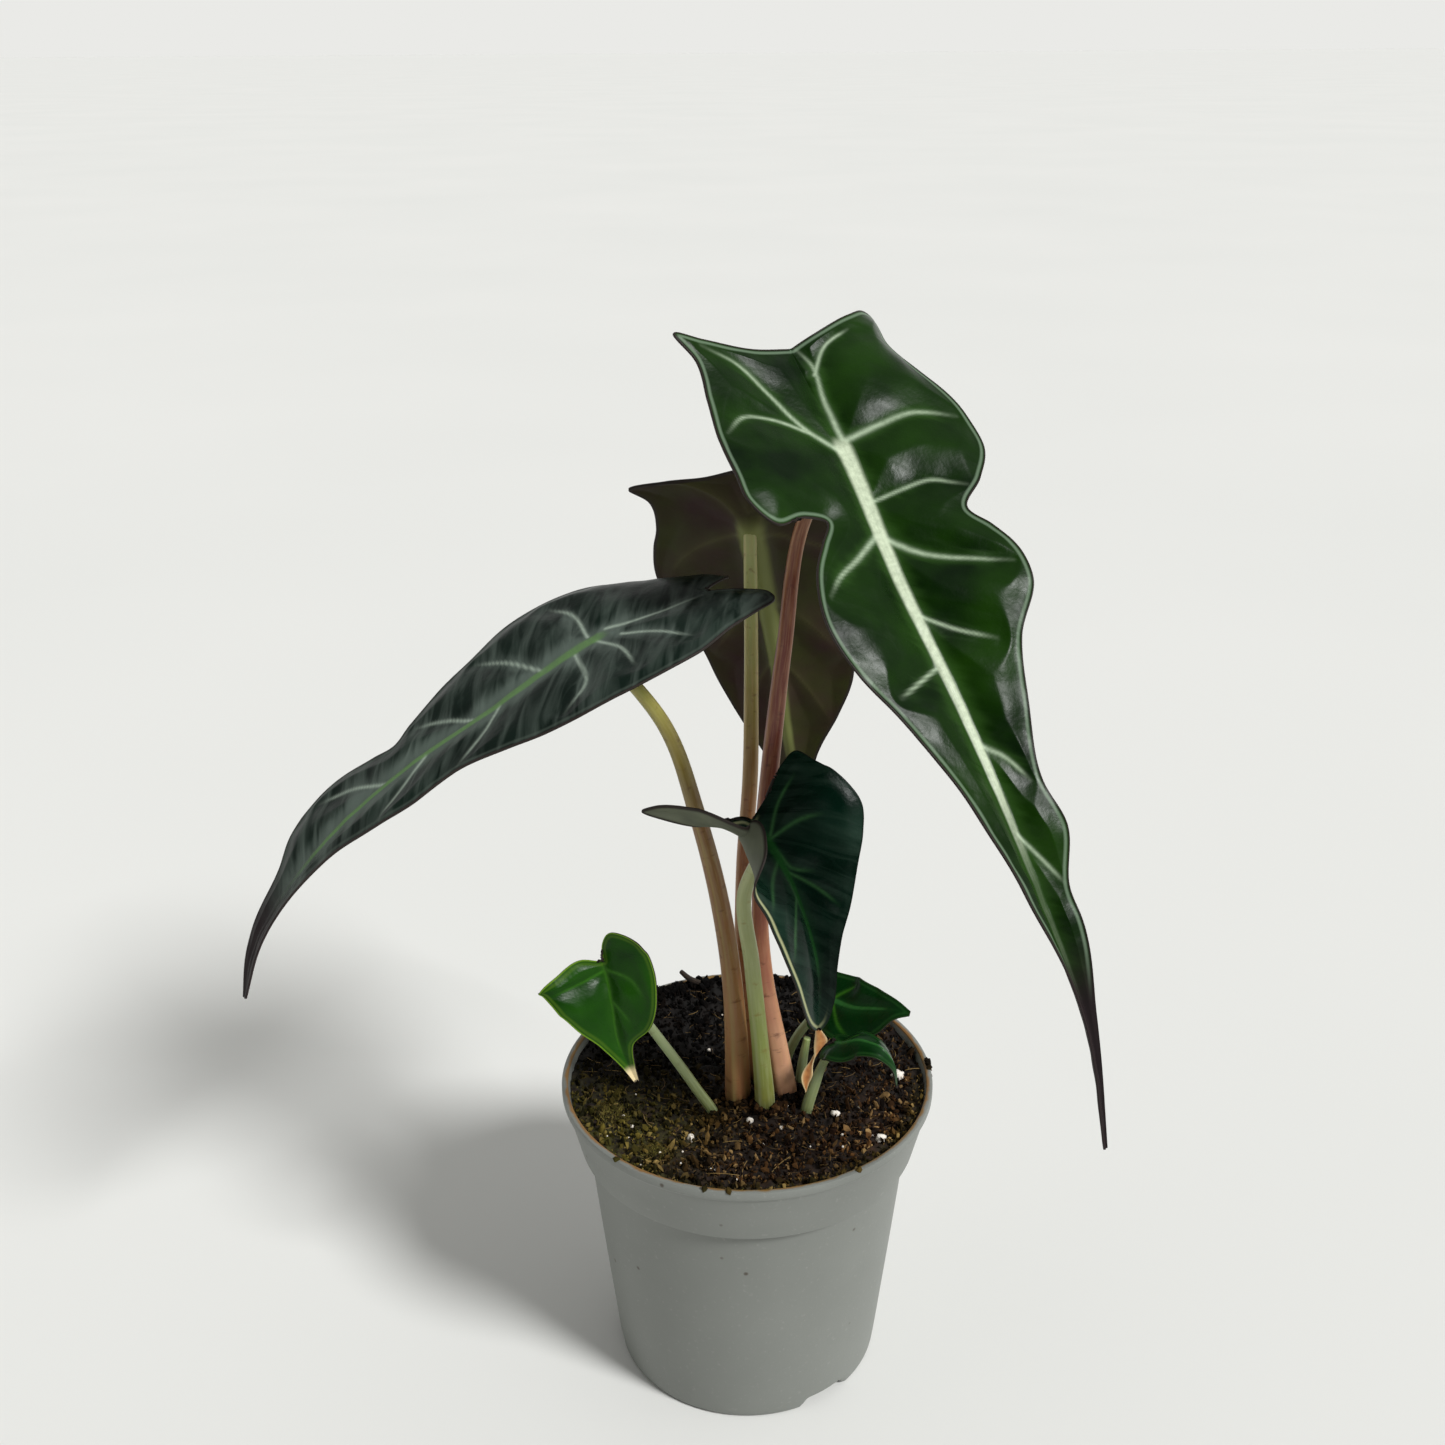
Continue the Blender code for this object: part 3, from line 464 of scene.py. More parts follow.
def clear_of_stalks(x, y, radius):
    return all(math.hypot(x - sx, y - sy) > radius + size for sx, sy, size in STALK_FEET)


def on_peat(edge):
    """A random place on the peat, up to edge from the middle."""
    while True:
        x, y = chance.uniform(-edge, edge), chance.uniform(-edge, edge)
        if math.hypot(x, y) < edge and clear_of_stalks(x, y, 0.2):
            return x, y


bpy.ops.mesh.primitive_ico_sphere_add(subdivisions=2, radius=MM)
lump = pattern_of(bpy.context.object)
bpy.ops.mesh.primitive_ico_sphere_add(subdivisions=1, radius=MM)
grain = pattern_of(bpy.context.object)
copies = []
for _ in range(6500):
    x, y = on_peat(PEAT_RADIUS - 0.2)
    size = 0.14 + 0.26 * chance.random() ** 2 + (0.35 if chance.random() < 0.05 else 0)
    stretch = np.diag([1, chance.uniform(0.3, 0.9), chance.uniform(0.3, 2.2)]) * size
    place = (x, y, peat_height(x, y) + 0.2 + chance.uniform(-0.25, 0.65))
    copies.append((0, place, spin_matrix(0.6) @ stretch, 0.45, chance.random()))
for _ in range(420):
    # Along the back rim the crumbs are heaped to a ragged line just over it.
    bearing = math.radians(chance.uniform(38, 142))
    reach = PEAT_RADIUS + 0.6 - chance.uniform(0.1, 2.6)
    x, y = reach * math.cos(bearing), reach * math.sin(bearing)
    size = chance.uniform(0.25, 0.7)
    place = (x, y, POT_HEIGHT + chance.uniform(-0.5, 0.35))
    copies.append((0, place, spin_matrix(0.3) * size, 0.3, chance.random() * 0.4))
for x, y, size in STALK_FEET:
    # Crumbs are banked up against the foot of each stalk.
    for _ in range(130):
        turn, over = chance.uniform(0, math.tau), chance.random() ** 1.5
        off = size + 0.75 - 0.9 * over + chance.uniform(-0.1, 0.2)
        at = (x + off * math.cos(turn), y + off * math.sin(turn))
        place = (*at, peat_height(*at) + 1.5 * over)
        copies.append((0, place, spin_matrix(0.3) * chance.uniform(0.22, 0.55), 0.35, chance.random() * 0.8))
for bearing, height in (
    (2, -0.5), (3.4, -0.1), (-1, -0.9), (1, 0.1), (4.5, 0.2), (6, -0.3), (2.6, 0.35), (-57, 0.05),
    (-96, 0.1), (-132, 0.0), (-103, 0.05),
):
    turn = math.radians(bearing)
    place = ((RIM - 0.3) * math.cos(turn), (RIM - 0.3) * math.sin(turn), POT_HEIGHT + height)
    copies.append((0, place, spin_matrix(0.3) * 0.55, 0.3, chance.random()))

crumb_material, tree, shader = new_material("peat_crumbs", 0.9, 1.4)
spot = place_of(tree)
coarse = cloudy(tree, spot, per(0.9), 4.0)
tone = read(tree, "tone")
dry_and_lit = read(tree, "dry_and_lit")
green = read(tree, "green")
shader.inputs["Specular IOR Level"].default_value = 0.15
# Crumbs at the back go near black: damp peat, and painted shade.
wet_and_shaded = blend(tree, tone, srgb("020101"), srgb("120A05"))
stops = [(0.0, "100804"), (0.4, "301C0E"), (0.75, "6E4C2A"), (1.0, "B49260")]
brown = shades(tree, tone, stops)
tint = blend(tree, dry_and_lit, wet_and_shaded, brown)
mossy = maths(tree, "MULTIPLY", green, 0.5)
tint = blend(tree, mossy, tint, blend(tree, tone, srgb("1E200A"), srgb("8A8832")))
# Patches some 7 mm across are darker, painted shade, and each crumb is uneven.
shade_patch_noise = cloudy(tree, spot, per(7))
painted_shade_patches = shades(tree, shade_patch_noise, [(0.38, 0.35), (0.55, 1.0)])
shade = add(tree, "ShaderNodeMapRange", None, {0: coarse, 1: 0.3, 2: 0.7, 3: 0.55}).outputs[0]
shade = maths(tree, "MULTIPLY", shade, painted_shade_patches)
tint = add(
    tree, "ShaderNodeMix", {"data_type": "RGBA", "blend_type": "MULTIPLY"}, {0: 1.0, 6: tint, 7: shade}
)
tree.links.new(tint.outputs[2], shader.inputs["Base Color"])
scatter("peat_crumbs", [grain], copies, crumb_material, smooth=False)

# Fibres: bent straws of dead moss, four-sided and a tenth of a millimetre thick.
fibres = []
for bend in (0.25, -0.4, 0.7):
    bpy.ops.mesh.primitive_cylinder_add(vertices=4, radius=0.5 * MM, depth=MM, end_fill_type="TRIFAN")
    straw = bpy.context.object
    bpy.ops.object.mode_set(mode="EDIT")
    bpy.ops.mesh.select_all(action="SELECT")
    bpy.ops.mesh.bisect(plane_co=(0, 0, 0.17 * MM), plane_no=(0, 0, 1))
    bpy.ops.mesh.select_all(action="SELECT")
    bpy.ops.mesh.bisect(plane_co=(0, 0, -0.17 * MM), plane_no=(0, 0, 1))
    bpy.ops.object.mode_set(mode="OBJECT")
    points, faces = pattern_of(straw)
    along = points[:, 2].copy()
    fibres.append((np.stack(
        [along, points[:, 0] * 0.04 + bend * along**2, points[:, 1] * 0.04 + 0.1 * along**2], 1
    ), faces))
copies = []
for _ in range(260):
    x, y = on_peat(PEAT_RADIUS - 2.5)
    length = chance.uniform(1.0, 3.6)
    thick = chance.uniform(1.6, 3.2)
    matrix = spin_matrix(0.86) @ np.diag([length, thick, thick])
    place = (x, y, peat_height(x, y) + 0.45)
    copies.append((chance.randrange(3), place, matrix, 0.0, chance.random()))
for x, y, turn, length in (
    (4.5, -22, 0.9, 4.5), (-4, -24.5, -0.1, 5.0), (-16, -11, 2.0, 3.5), (-2.5, -16, 0.1, 3.0),
    (27, 1.5, 0.2, 2.4),
):
    spread = np.array([[math.cos(turn), -math.sin(turn), 0], [math.sin(turn), math.cos(turn), 0], [0, 0, 1]])
    place = (x, y, peat_height(x, y) + 0.9)
    copies.append((1, place, spread @ np.diag([length, 3.0, 3.0]), 0.0, 0.95))
straw_material, tree, shader = new_material("dead_moss_fibre", 0.7, 1.45)
spot = place_of(tree)
coarse = cloudy(tree, spot, per(1.5))
tone = read(tree, "tone")
stops = [(0.0, "2A180B"), (0.5, "5A3F20"), (1.0, "A88A50")]
straw_tint = shades(tree, tone, stops)
tint = blend(tree, coarse, straw_tint, srgb("5E4A22"))
tree.links.new(tint, shader.inputs["Base Color"])
scatter("peat_fibres", fibres, copies, straw_material)

# Perlite: popped volcanic glass, white and full of pores. The larger grains lie on the peat.
copies = []
for index in range(1, 6):
    low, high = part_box(f"perlite_grain_{index}")
    middle = (low + high) / 2 / MM
    size = (high.x - low.x) / 2 / MM
    place = (middle.x, middle.y, peat_height(middle.x, middle.y) + size * 0.45)
    copies.append((0, place, spin_matrix(0.2) @ np.diag([size, size * 0.85, size * 0.8]), 0.2, 0.9))
big_grains = copies
perlite, tree, shader = new_material("expanded_perlite", 0.85, 1.5)
spot = place_of(tree)
pores = add(tree, "ShaderNodeTexVoronoi", None, {"Vector": spot, "Scale": per(0.45)})
tint = shades(tree, pores.outputs[0], [(0.1, "8A7A66"), (0.3, "D8CEBE"), (0.6, "EFE9DF")])
tree.links.new(tint, shader.inputs["Base Color"])
roughen(tree, shader, 0.6, 0.1, pores.outputs[0])
grains = scatter("perlite_grains", [lump], big_grains, perlite)
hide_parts(*[f"perlite_grain_{index}" for index in range(1, 6)])
copies = []
for _ in range(46):
    x, y = on_peat(PEAT_RADIUS - 1)
    if y > 4 and chance.random() < 0.75:
        continue
    place = (x, y, peat_height(x, y) + 0.35)
    copies.append((0, place, spin_matrix(0.2) * chance.uniform(0.12, 0.34), 0.25, 0.5))
scatter("perlite_crumbs", [grain], copies, perlite)

# Moss: young cushions at the front left, of leaflets under a millimetre long that grow outwards.
bpy.ops.mesh.primitive_cone_add(vertices=3, radius1=0.16 * MM, radius2=0, depth=MM, location=(0, 0, 0.4 * MM))
bpy.ops.object.transform_apply(location=True, rotation=True, scale=True)
leaflet = pattern_of(bpy.context.object)
copies = []
for index in (1, 2):
    low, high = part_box(f"moss_cushion_{index}")
    middle = (low + high) / 2 / MM
    reach = (high.x - low.x) / 2 / MM
    for _ in range(620):
        turn, out = chance.uniform(0, math.tau), reach * math.sqrt(chance.random())
        x, y = middle.x + out * math.cos(turn), middle.y + out * math.sin(turn)
        dome = 0.55 * (1 - (out / reach) ** 2)
        lean = Vector((math.cos(turn) * out / reach, math.sin(turn) * out / reach, 1.0))
        lean += Vector([chance.gauss(0, 0.45) for _ in range(3)])
        turned = np.array(lean.to_track_quat("Z", "Y").to_matrix(), float)
        place = (x, y, peat_height(x, y) + dome)
        copies.append((0, place, turned * chance.uniform(0.35, 0.75), 0.1, chance.random()))
for _ in range(1000):
    # Single shoots spread out from the cushions and along the front rim.
    x, y = on_peat(PEAT_RADIUS - 0.3)
    if chance.random() < float(greenness(x, y)) * 0.9:
        lean = Vector((chance.gauss(0, 0.6), chance.gauss(0, 0.6), 1.0))
        turned = np.array(lean.to_track_quat("Z", "Y").to_matrix(), float)
        copies.append(
            (0, (x, y, peat_height(x, y) + 0.25), turned * chance.uniform(0.4, 0.8), 0.1, chance.random())
        )
moss_material, tree, shader = new_material("living_moss", 0.75, 1.4)
spot = place_of(tree)
coarse = cloudy(tree, spot, per(2.5))
tone = read(tree, "tone")
stops = [(0.0, "2C2E0C"), (0.55, "5C5A1E"), (1.0, "96903C")]
moss_tint = shades(tree, tone, stops)
tint = blend(tree, coarse, moss_tint, srgb("4E3A1A"))
tree.links.new(tint, shader.inputs["Base Color"])
moss = scatter("moss_shoots", [leaflet], copies, moss_material, smooth=False)
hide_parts("moss_cushion_1", "moss_cushion_2")

# Stalks: fleshy petioles that rise from the rootstock, each with a shallow channel, finely
# ridged and flecked, pale or reddish at the base where it sheathed the next leaf.
STALK_AROUND = 32
STALK_ROWS = 110


def smooth_curve(knots, values, at):
    """The cubic curve through values at the knots, read at the places in at."""
    knots = np.asarray(knots, float)
    values = np.asarray(values, float)
    slopes = np.gradient(values, knots, axis=0)
    at = np.clip(np.asarray(at, float), knots[0], knots[-1])
    i = np.clip(np.searchsorted(knots, at) - 1, 0, len(knots) - 2)
    span = knots[i + 1] - knots[i]
    s = (at - knots[i]) / span
    if values.ndim > 1:
        span = span[:, None]
        s = s[:, None]
    start = (2 * s**3 - 3 * s**2 + 1) * values[i] + (s**3 - 2 * s**2 + s) * span * slopes[i]
    return start + (3 * s**2 - 2 * s**3) * values[i + 1] + (s**3 - s**2) * span * slopes[i + 1]


def lengths_along(points):
    steps = np.linalg.norm(np.diff(np.asarray(points, float), axis=0), axis=1)
    return np.concatenate([[0.0], np.cumsum(steps)])


def unit(vectors):
    return vectors / np.linalg.norm(vectors, axis=-1, keepdims=True)


def keep_map(obj, name, flat):
    """A UV map of flat places in millimetres, one per vertex, shrunk into the unit square."""
    layer = obj.data.uv_layers.new(name=name)
    corners = np.empty(len(obj.data.loops), np.int32)
    obj.data.loops.foreach_get("vertex_index", corners)
    layer.data.foreach_set("uv", (flat[corners] / 200 + 0.5).astype(np.float32).ravel())


def rolled(name, points, radii, channel, facing, material, start=0.0):
    """A stalk along points: a grid rolled into a tube, closed at both ends by a pole."""
    bpy.ops.mesh.primitive_grid_add(x_subdivisions=STALK_AROUND, y_subdivisions=STALK_ROWS, size=2)
    made = bpy.context.object
    made.name = name
    along = lengths_along(points)
    at = np.linspace(0, along[-1], STALK_ROWS - 1)
    centre = smooth_curve(along, points, at)
    size = smooth_curve(along, radii, at)
    centre = np.concatenate([centre[:1], centre, centre[-1:]])
    size = np.concatenate([[0], size, [0]])
    rows = np.concatenate([at[:1], at, at[-1:]])
    tangent = unit(np.gradient(centre[1:-1], axis=0))
    tangent = np.concatenate([tangent[:1], tangent, tangent[-1:]])
    ahead = np.asarray(facing, float)
    ahead = unit(ahead - (tangent @ ahead)[:, None] * tangent)
    beside = np.cross(tangent, ahead)
    turn = np.linspace(-np.pi, np.pi, STALK_AROUND + 1)
    dip = channel * np.exp(-((turn / 0.5) ** 2)) - 0.45 * channel * np.exp(
        -(((abs(turn) - 0.95) / 0.25) ** 2)
    )
    ribs = 0.018 * np.cos(turn * 11)
    reach = size[:, None] * (1 - dip + ribs)
    place = centre[:, None] + ahead[:, None] * (reach * np.cos(turn))[..., None]
    place = place + beside[:, None] * (reach * np.sin(turn))[..., None]
    put_points(made, place.reshape(-1, 3) + (0, 0, CROWN))
    ridge = np.exp(-(((abs(turn) - 0.95) / 0.16) ** 2))[None] * np.ones(len(rows))[:, None]
    store(made, "ridge", ridge.ravel())
    store(
        made, "along",
        (np.clip(rows - start, 0, None)[:, None] / (along[-1] - start) * np.ones_like(turn)).ravel(),
    )
    flat = np.stack(np.broadcast_arrays(turn[None] * 1.4, rows[:, None]), -1)
    keep_map(made, "surface", flat.reshape(-1, 2))
    bpy.ops.object.mode_set(mode="EDIT")
    bpy.ops.mesh.select_all(action="SELECT")
    bpy.ops.mesh.remove_doubles(threshold=0.002 * MM)
    bpy.ops.mesh.normals_make_consistent(inside=False)
    bpy.ops.object.mode_set(mode="OBJECT")
    made.data.shade_smooth()
    made.data.materials.append(material)
    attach(made, "root")
    return made


def petiole_material(name, stops, edge, fleck, roughness=0.38):
    """Living petiole: waxy skin over wet flesh, shaded along its length, with fine brown flecks."""
    material, tree, shader = new_material(name, roughness, 1.42)
    surface = add(tree, "ShaderNodeUVMap", {"uv_map": "surface"}).outputs[0]
    along = read(tree, "along")
    wander = cloudy(tree, surface, 40.0, 3.0)
    shifted = maths(tree, "MULTIPLY_ADD", wander, 0.12, along)
    shifted = maths(tree, "SUBTRACT", shifted, 0.06)
    tint = shades(tree, shifted, stops)
    # Streaks run along the stalk, 0.4 mm wide and some 5 mm long.
    drawn = add(tree, "ShaderNodeMapping", None, {"Vector": surface, "Scale": (1.0, 0.08, 1.0)})
    streak = cloudy(tree, drawn.outputs[0], 420.0, 3.0)
    ramp = shades(tree, streak, [(0.42, 0.0), (0.7, 0.32)])
    tint = blend(tree, ramp, tint, srgb(edge))
    # Flecks are short brown dashes across the stalk, up to 1 mm long.
    drawn = add(tree, "ShaderNodeMapping", None, {"Vector": surface, "Scale": (0.5, 1.0, 1.0)})
    spots = cloudy(tree, drawn.outputs[0], 170.0, 4.0)
    ramp = shades(tree, spots, [(0.6, 0.0), (0.72, 0.6)])
    tint = blend(tree, ramp, tint, srgb(fleck))
    ridge = read(tree, "ridge")
    share = maths(tree, "MULTIPLY", ridge, 0.45)
    tint = blend(tree, share, tint, srgb(edge))
    tree.links.new(tint, shader.inputs["Base Color"])
    shader.inputs["Subsurface Weight"].default_value = 0.12
    shader.inputs["Subsurface Radius"].default_value = (0.8, 0.5, 0.2)
    shader.inputs["Subsurface Scale"].default_value = MM
    roughen(tree, shader, 0.25, 0.1, streak)
    return material


def blade_underside(blade, depth):
    """Where a stalk enters its blade, at this depth under the upper side of the junction."""
    half = HalfBlade(blade, "right")
    at, normal, _ = half.frame(np.array([0.0]))
    return at[0] - normal[0] * depth


class HalfBlade:
    """One half of a blade: takes places on the flat leaf, along and out from the midrib, into space."""

    def __init__(self, blade, side):
        half = blade[side]
        self.sign = 1 if side == "right" else -1
        self.points = np.array(half["back"][::-1] + blade["axis"], float)
        self.faces = np.array(half["back_face"][::-1] + blade["face"], float)
        along = lengths_along(self.points)
        self.along = along - along[len(half["back"]) + 1]
        self.fold = half["fold"]
        self.curl = half["curl"]
        self.margin = np.array(half["margin"], float)

    def frame(self, along):
        reach = 0.2
        inner = np.clip(along, self.along[0] + reach, self.along[-1] - reach)
        at = smooth_curve(self.along, self.points, along)
        ahead = smooth_curve(self.along, self.points, inner + reach)
        behind = smooth_curve(self.along, self.points, inner - reach)
        tangent = unit(ahead - behind)
        face = smooth_curve(self.along, self.faces, along)
        normal = unit(face - (face * tangent).sum(1)[:, None] * tangent)
        return at, normal, np.cross(normal, tangent)

    def place(self, along, out):
        at, normal, across = self.frame(along)
        fold = np.radians(smooth_curve(self.along, self.fold, along))
        curl = np.radians(smooth_curve(self.along, self.curl, along))
        curl = np.where(abs(curl) < 1e-5, 1e-5, curl)
        end = fold + curl * out
        reach = (np.sin(end) - np.sin(fold)) / curl
        rise = (np.cos(fold) - np.cos(end)) / curl
        place = at + across * (self.sign * reach)[:, None] + normal * rise[:, None]
        facing = normal * np.cos(end)[:, None] - across * (self.sign * np.sin(end))[:, None]
        return place, facing


# A blade's numbers. axis: the midrib, from the notch between the lobes through the junction with
# the stalk to the drip tip, from the crown. face: the way the upper side looks at each point of the
# axis. Each half has the line its lobe follows behind the notch, and for every point from there to
# the tip how far it is folded up from the midrib, in degrees, and how much it curls, in degrees per
# mm. Its margin runs from the notch round the lobe to the tip: along the axis from the junction,
# out from the axis, and where the rib to it starts.
BLADES = {
    "leaf_main": dict(
        axis=[
            (6, 7, 118), (13, -3, 106), (19.5, -16, 92), (27.5, -27, 77), (36, -38, 58), (42.5, -45, 41),
            (46, -47, 24),
        ],
        face=[(0.3, -0.85, 0.4)] * 7,
        right=dict(
            back=[(2, 13, 129)],
            back_face=[(0.3, -0.85, 0.4)],
            fold=[10, 12, 12, 12, 12, 14, 20, 20],
            curl=[-4, -3, -1, 0, 0, 0, 0, 0],
            margin=[
                (-17, 0.3, -17), (-18.5, 5, -16.5), (-20.5, 11, -15), (-21.5, 16, -13.5), (-21, 18, -12),
                (-15, 16.8, -10), (-8, 17.5, -7), (0, 19.2, -3.5), (4.5, 19.3, -1), (9, 16.5, 3),
                (13.3, 12.8, 9), (17, 15, 13.5), (23, 16.9, 20), (27.5, 16.5, 25), (34, 11.6, 32),
                (42, 8.6, 41), (52, 6.2, 51.5), (58, 6.9, 57.5), (66, 4.2, 66), (70, 4.2, 70),
                (82, 1.8, 82), (101, 0.3, 101),
            ],
        ),
        left=dict(
            back=[(2, 13, 129)],
            back_face=[(0.3, -0.85, 0.4)],
            fold=[18, 18, 18, 18, 18, 45, 75, 70],
            curl=[0] * 8,
            margin=[
                (-17, 0.3, -17), (-17.4, 6, -16.5), (-19.6, 14, -15), (-20.8, 18.3, -13),
                (-16.6, 16.4, -11.5), (-11, 17.3, -9.5), (-4, 18.8, -6), (3, 19.4, -2.5), (8.4, 19.2, 1),
                (11.8, 16, 4), (10.8, 11, 6.5), (11.5, 7.8, 9), (14.5, 9.8, 12), (18, 12.4, 16),
                (24, 14.3, 22), (31, 12.8, 29), (38, 9.9, 36), (48, 6.9, 47), (58, 5, 57.5), (69, 3.2, 69),
                (82, 1.7, 82), (101, 0.3, 101),
            ],
        ),
    ),
    "leaf_left": dict(
        axis=[
            (-6, -4, 86.5), (-21, -10, 81.5), (-36.5, -16, 72.5), (-47, -19, 66), (-59.5, -22, 55),
            (-69.5, -23, 40), (-72, -23, 32),
        ],
        face=[(0, -0.25, 0.95)] * 7,
        right=dict(
            back=[(7.5, 2, 89)],
            back_face=[(0, -0.25, 0.95)],
            fold=[8, 8, 8, 8, 8, 10, 15, 15],
            curl=[0] * 8,
            margin=[
                (-17.3, 0.3, -17.3), (-21.5, 3, -16.8), (-24, 6, -16), (-23.8, 8.3, -14.5),
                (-20.5, 9.8, -13), (-15.5, 11.8, -10.5), (-10, 14.3, -7.5), (-1.5, 15, -2.5), (7, 13.8, 4),
                (13, 11.8, 11), (18, 9.8, 16.5), (24, 7.8, 23), (32.5, 8, 31), (38, 6.3, 37), (45, 4, 44.5),
                (52, 2.6, 52), (60, 1.7, 60), (68, 1, 68), (74.5, 0.3, 74.5),
            ],
        ),
        left=dict(
            back=[(7.5, 2, 89)],
            back_face=[(0, -0.25, 0.95)],
            fold=[-42, -12, 3, 2, 0, 5, 15, 15],
            curl=[-2, -2, -1.3, -0.9, -0.9, -0.9, 0, 0],
            margin=[
                (-17.3, 0.3, -17.3), (-21, 3, -16.8), (-23, 6, -16), (-22.5, 8.3, -14.5),
                (-19, 10.5, -12.5), (-13, 13, -9), (-6, 14.6, -5), (2, 14.8, 0), (9, 14.2, 6),
                (15, 13, 12.5), (22.5, 11.2, 21), (28.4, 8.2, 27.5), (31.6, 6, 31), (35, 7, 34.5),
                (40, 8.5, 39), (46.5, 8.3, 46), (51.5, 6.8, 51), (55, 4.3, 54.5), (64, 2.2, 64),
                (74.5, 0.3, 74.5),
            ],
        ),
    ),
    "leaf_back": dict(
        axis=[(-0.5, 8, 101), (0.8, 13, 91), (4, 21, 74), (7, 29, 52), (9.5, 34, 35.5), (11, 37, 23)],
        face=[(0.15, 0.9, 0.35)] * 6,
        right=dict(
            back=[(-2, 2, 109)],
            back_face=[(0.15, 0.9, 0.35)],
            fold=[5] * 7,
            curl=[-1, -1, 0, 0, 0, 0, 0],
            margin=[
                (-11, 0.3, -11), (-9, 6, -10.5), (-8.3, 12, -9.5), (-7, 17.5, -7), (-4, 15, -4.5),
                (1, 14.9, 0), (5.2, 16.3, 4.5), (10, 17.2, 9), (17, 16, 16), (27.5, 12.1, 26),
                (33, 10.7, 32), (41, 7.9, 40), (51, 4.2, 50), (60, 2.2, 60), (73, 0.3, 73),
            ],
        ),
        left=dict(
            back=[(-2, 2, 109)],
            back_face=[(0.15, 0.9, 0.35)],
            fold=[5] * 7,
            curl=[-1, -1, 0, 0, 0, 0, 0],
            margin=[
                (-11, 0.3, -11), (-10, 6, -10.5), (-10, 12, -9.5), (-8.5, 17, -7), (-4, 16, -4.5),
                (1, 15.5, 0), (5.2, 16.3, 4.5), (10, 17.2, 9), (17, 16, 16), (27.5, 12.8, 26),
                (34, 11.8, 33), (41, 9, 40), (50.7, 4.2, 50), (60, 2.2, 60), (73, 0.3, 73),
            ],
        ),
    ),
    "leaf_young": dict(
        axis=[(0.5, -9.5, 53.5), (3, -11, 50.5), (7.5, -15, 42), (10, -19, 33), (10, -21.5, 25.5)],
        face=[(0.45, -0.8, 0.4)] * 5,
        right=dict(
            back=[(-5, -6, 61)],
            back_face=[(0.45, -0.8, 0.4)],
            fold=[15] * 6,
            curl=[0] * 6,
            margin=[
                (-4.2, 0.3, -4.2), (-6, 4.5, -4), (-8.5, 8.5, -3.7), (-9, 11, -3.3), (-6, 12.7, -2.5),
                (-2, 14.2, -1), (1.9, 14.8, 1), (4.7, 13, 4), (7.7, 10.5, 7), (12.8, 7, 12),
                (16.1, 4.6, 15.5), (20, 3, 20), (25, 2.2, 25), (27.8, 1.2, 27.8), (28.8, 0.3, 28.8),
            ],
        ),
        left=dict(
            back=[(-8, -11.5, 53.5), (-17, -11, 55.5)],
            back_face=[(0, -0.3, 0.95), (0, -0.3, 0.95)],
            fold=[80, 60, -45, -25, 38, 38, 34],
            curl=[0, 6, 24, 15, -2, -1, 0],
            margin=[
                (-4.2, 0.3, -4.2), (-8, 0.4, -4.1), (-15, 0.5, -4), (-20.5, 1.4, -3.9), (-19, 3, -3.6),
                (-13, 5, -3.2), (-7, 8, -2.6), (-2, 11, -1), (2, 12, 1), (5, 10.5, 4), (8, 9, 7),
                (13, 8.6, 12), (17, 8.2, 16.5), (22, 6.6, 22), (26, 4, 26), (28, 1.8, 28),
                (28.8, 0.3, 28.8),
            ],
        ),
    ),
    "offset_left_leaf": dict(
        axis=[
            (-22, -9.5, 30), (-21.5, -10, 28.5), (-20.5, -12, 24), (-19.5, -14, 18), (-18, -15, 14.5),
            (-17, -15, 12),
        ],
        face=[(-0.1, -0.85, 0.5)] * 6,
        right=dict(
            back=[(-23, -7, 40)],
            back_face=[(-0.1, -0.85, 0.5)],
            fold=[25] * 7,
            curl=[0] * 7,
            margin=[
                (-1.6, 0.3, -1.6), (-4, 0.6, -1.5), (-6, 2, -1.3), (-6, 4.5, -1), (-4.5, 7, -0.7),
                (-1.5, 8, 0), (2, 8.4, 1), (5.5, 7.8, 4), (9, 6, 8), (12.3, 2.2, 12), (15, 1.1, 15),
                (18.5, 0.3, 18.5),
            ],
        ),
        left=dict(
            back=[(-23, -7, 40)],
            back_face=[(-0.1, -0.85, 0.5)],
            fold=[25] * 7,
            curl=[0] * 7,
            margin=[
                (-1.6, 0.3, -1.6), (-2.6, 3, -1.5), (-1.8, 7, -1.3), (-0.3, 10.8, -1), (2, 10, 0),
                (4.8, 8.4, 2.5), (8, 6, 6), (11, 2.8, 10.5), (14.5, 1.1, 14.5), (18.5, 0.3, 18.5),
            ],
        ),
    ),
    "offset_right_leaf": dict(
        axis=[
            (12, 4, 14.5), (14, 3, 14.5), (17, 1, 14.5), (20.5, -1, 15.5), (23.5, -3, 16.5),
            (25.5, -4, 16.5),
        ],
        face=[(0, -0.8, 0.6)] * 6,
        right=dict(
            back=[(5, 7, 13.5)],
            back_face=[(0, -0.8, 0.6)],
            fold=[5] * 7,
            curl=[0] * 7,
            margin=[
                (-2.2, 0.3, -2.2), (-4, 2.5, -2), (-3.5, 4.5, -1.5), (0, 4.6, 0), (4, 4.8, 3), (8, 3.2, 7),
                (11.5, 1.5, 11), (13.9, 0.3, 13.9),
            ],
        ),
        left=dict(
            back=[(5, 7, 13.5)],
            back_face=[(0, -0.8, 0.6)],
            fold=[5] * 7,
            curl=[0] * 7,
            margin=[
                (-2.2, 0.3, -2.2), (-4, 2.5, -2), (-3.5, 5, -1.5), (0, 5.5, 0), (4, 6, 3), (8, 4.2, 7),
                (11.5, 1.5, 11), (13.9, 0.3, 13.9),
            ],
        ),
    ),
    "offset_right_curled_leaf": dict(
        axis=[
            (13.5, -7, 13.5), (14.5, -8, 14), (17.5, -9.5, 15.5), (20.5, -11, 15), (22.5, -12, 12.5),
            (23, -12.5, 9),
        ],
        face=[
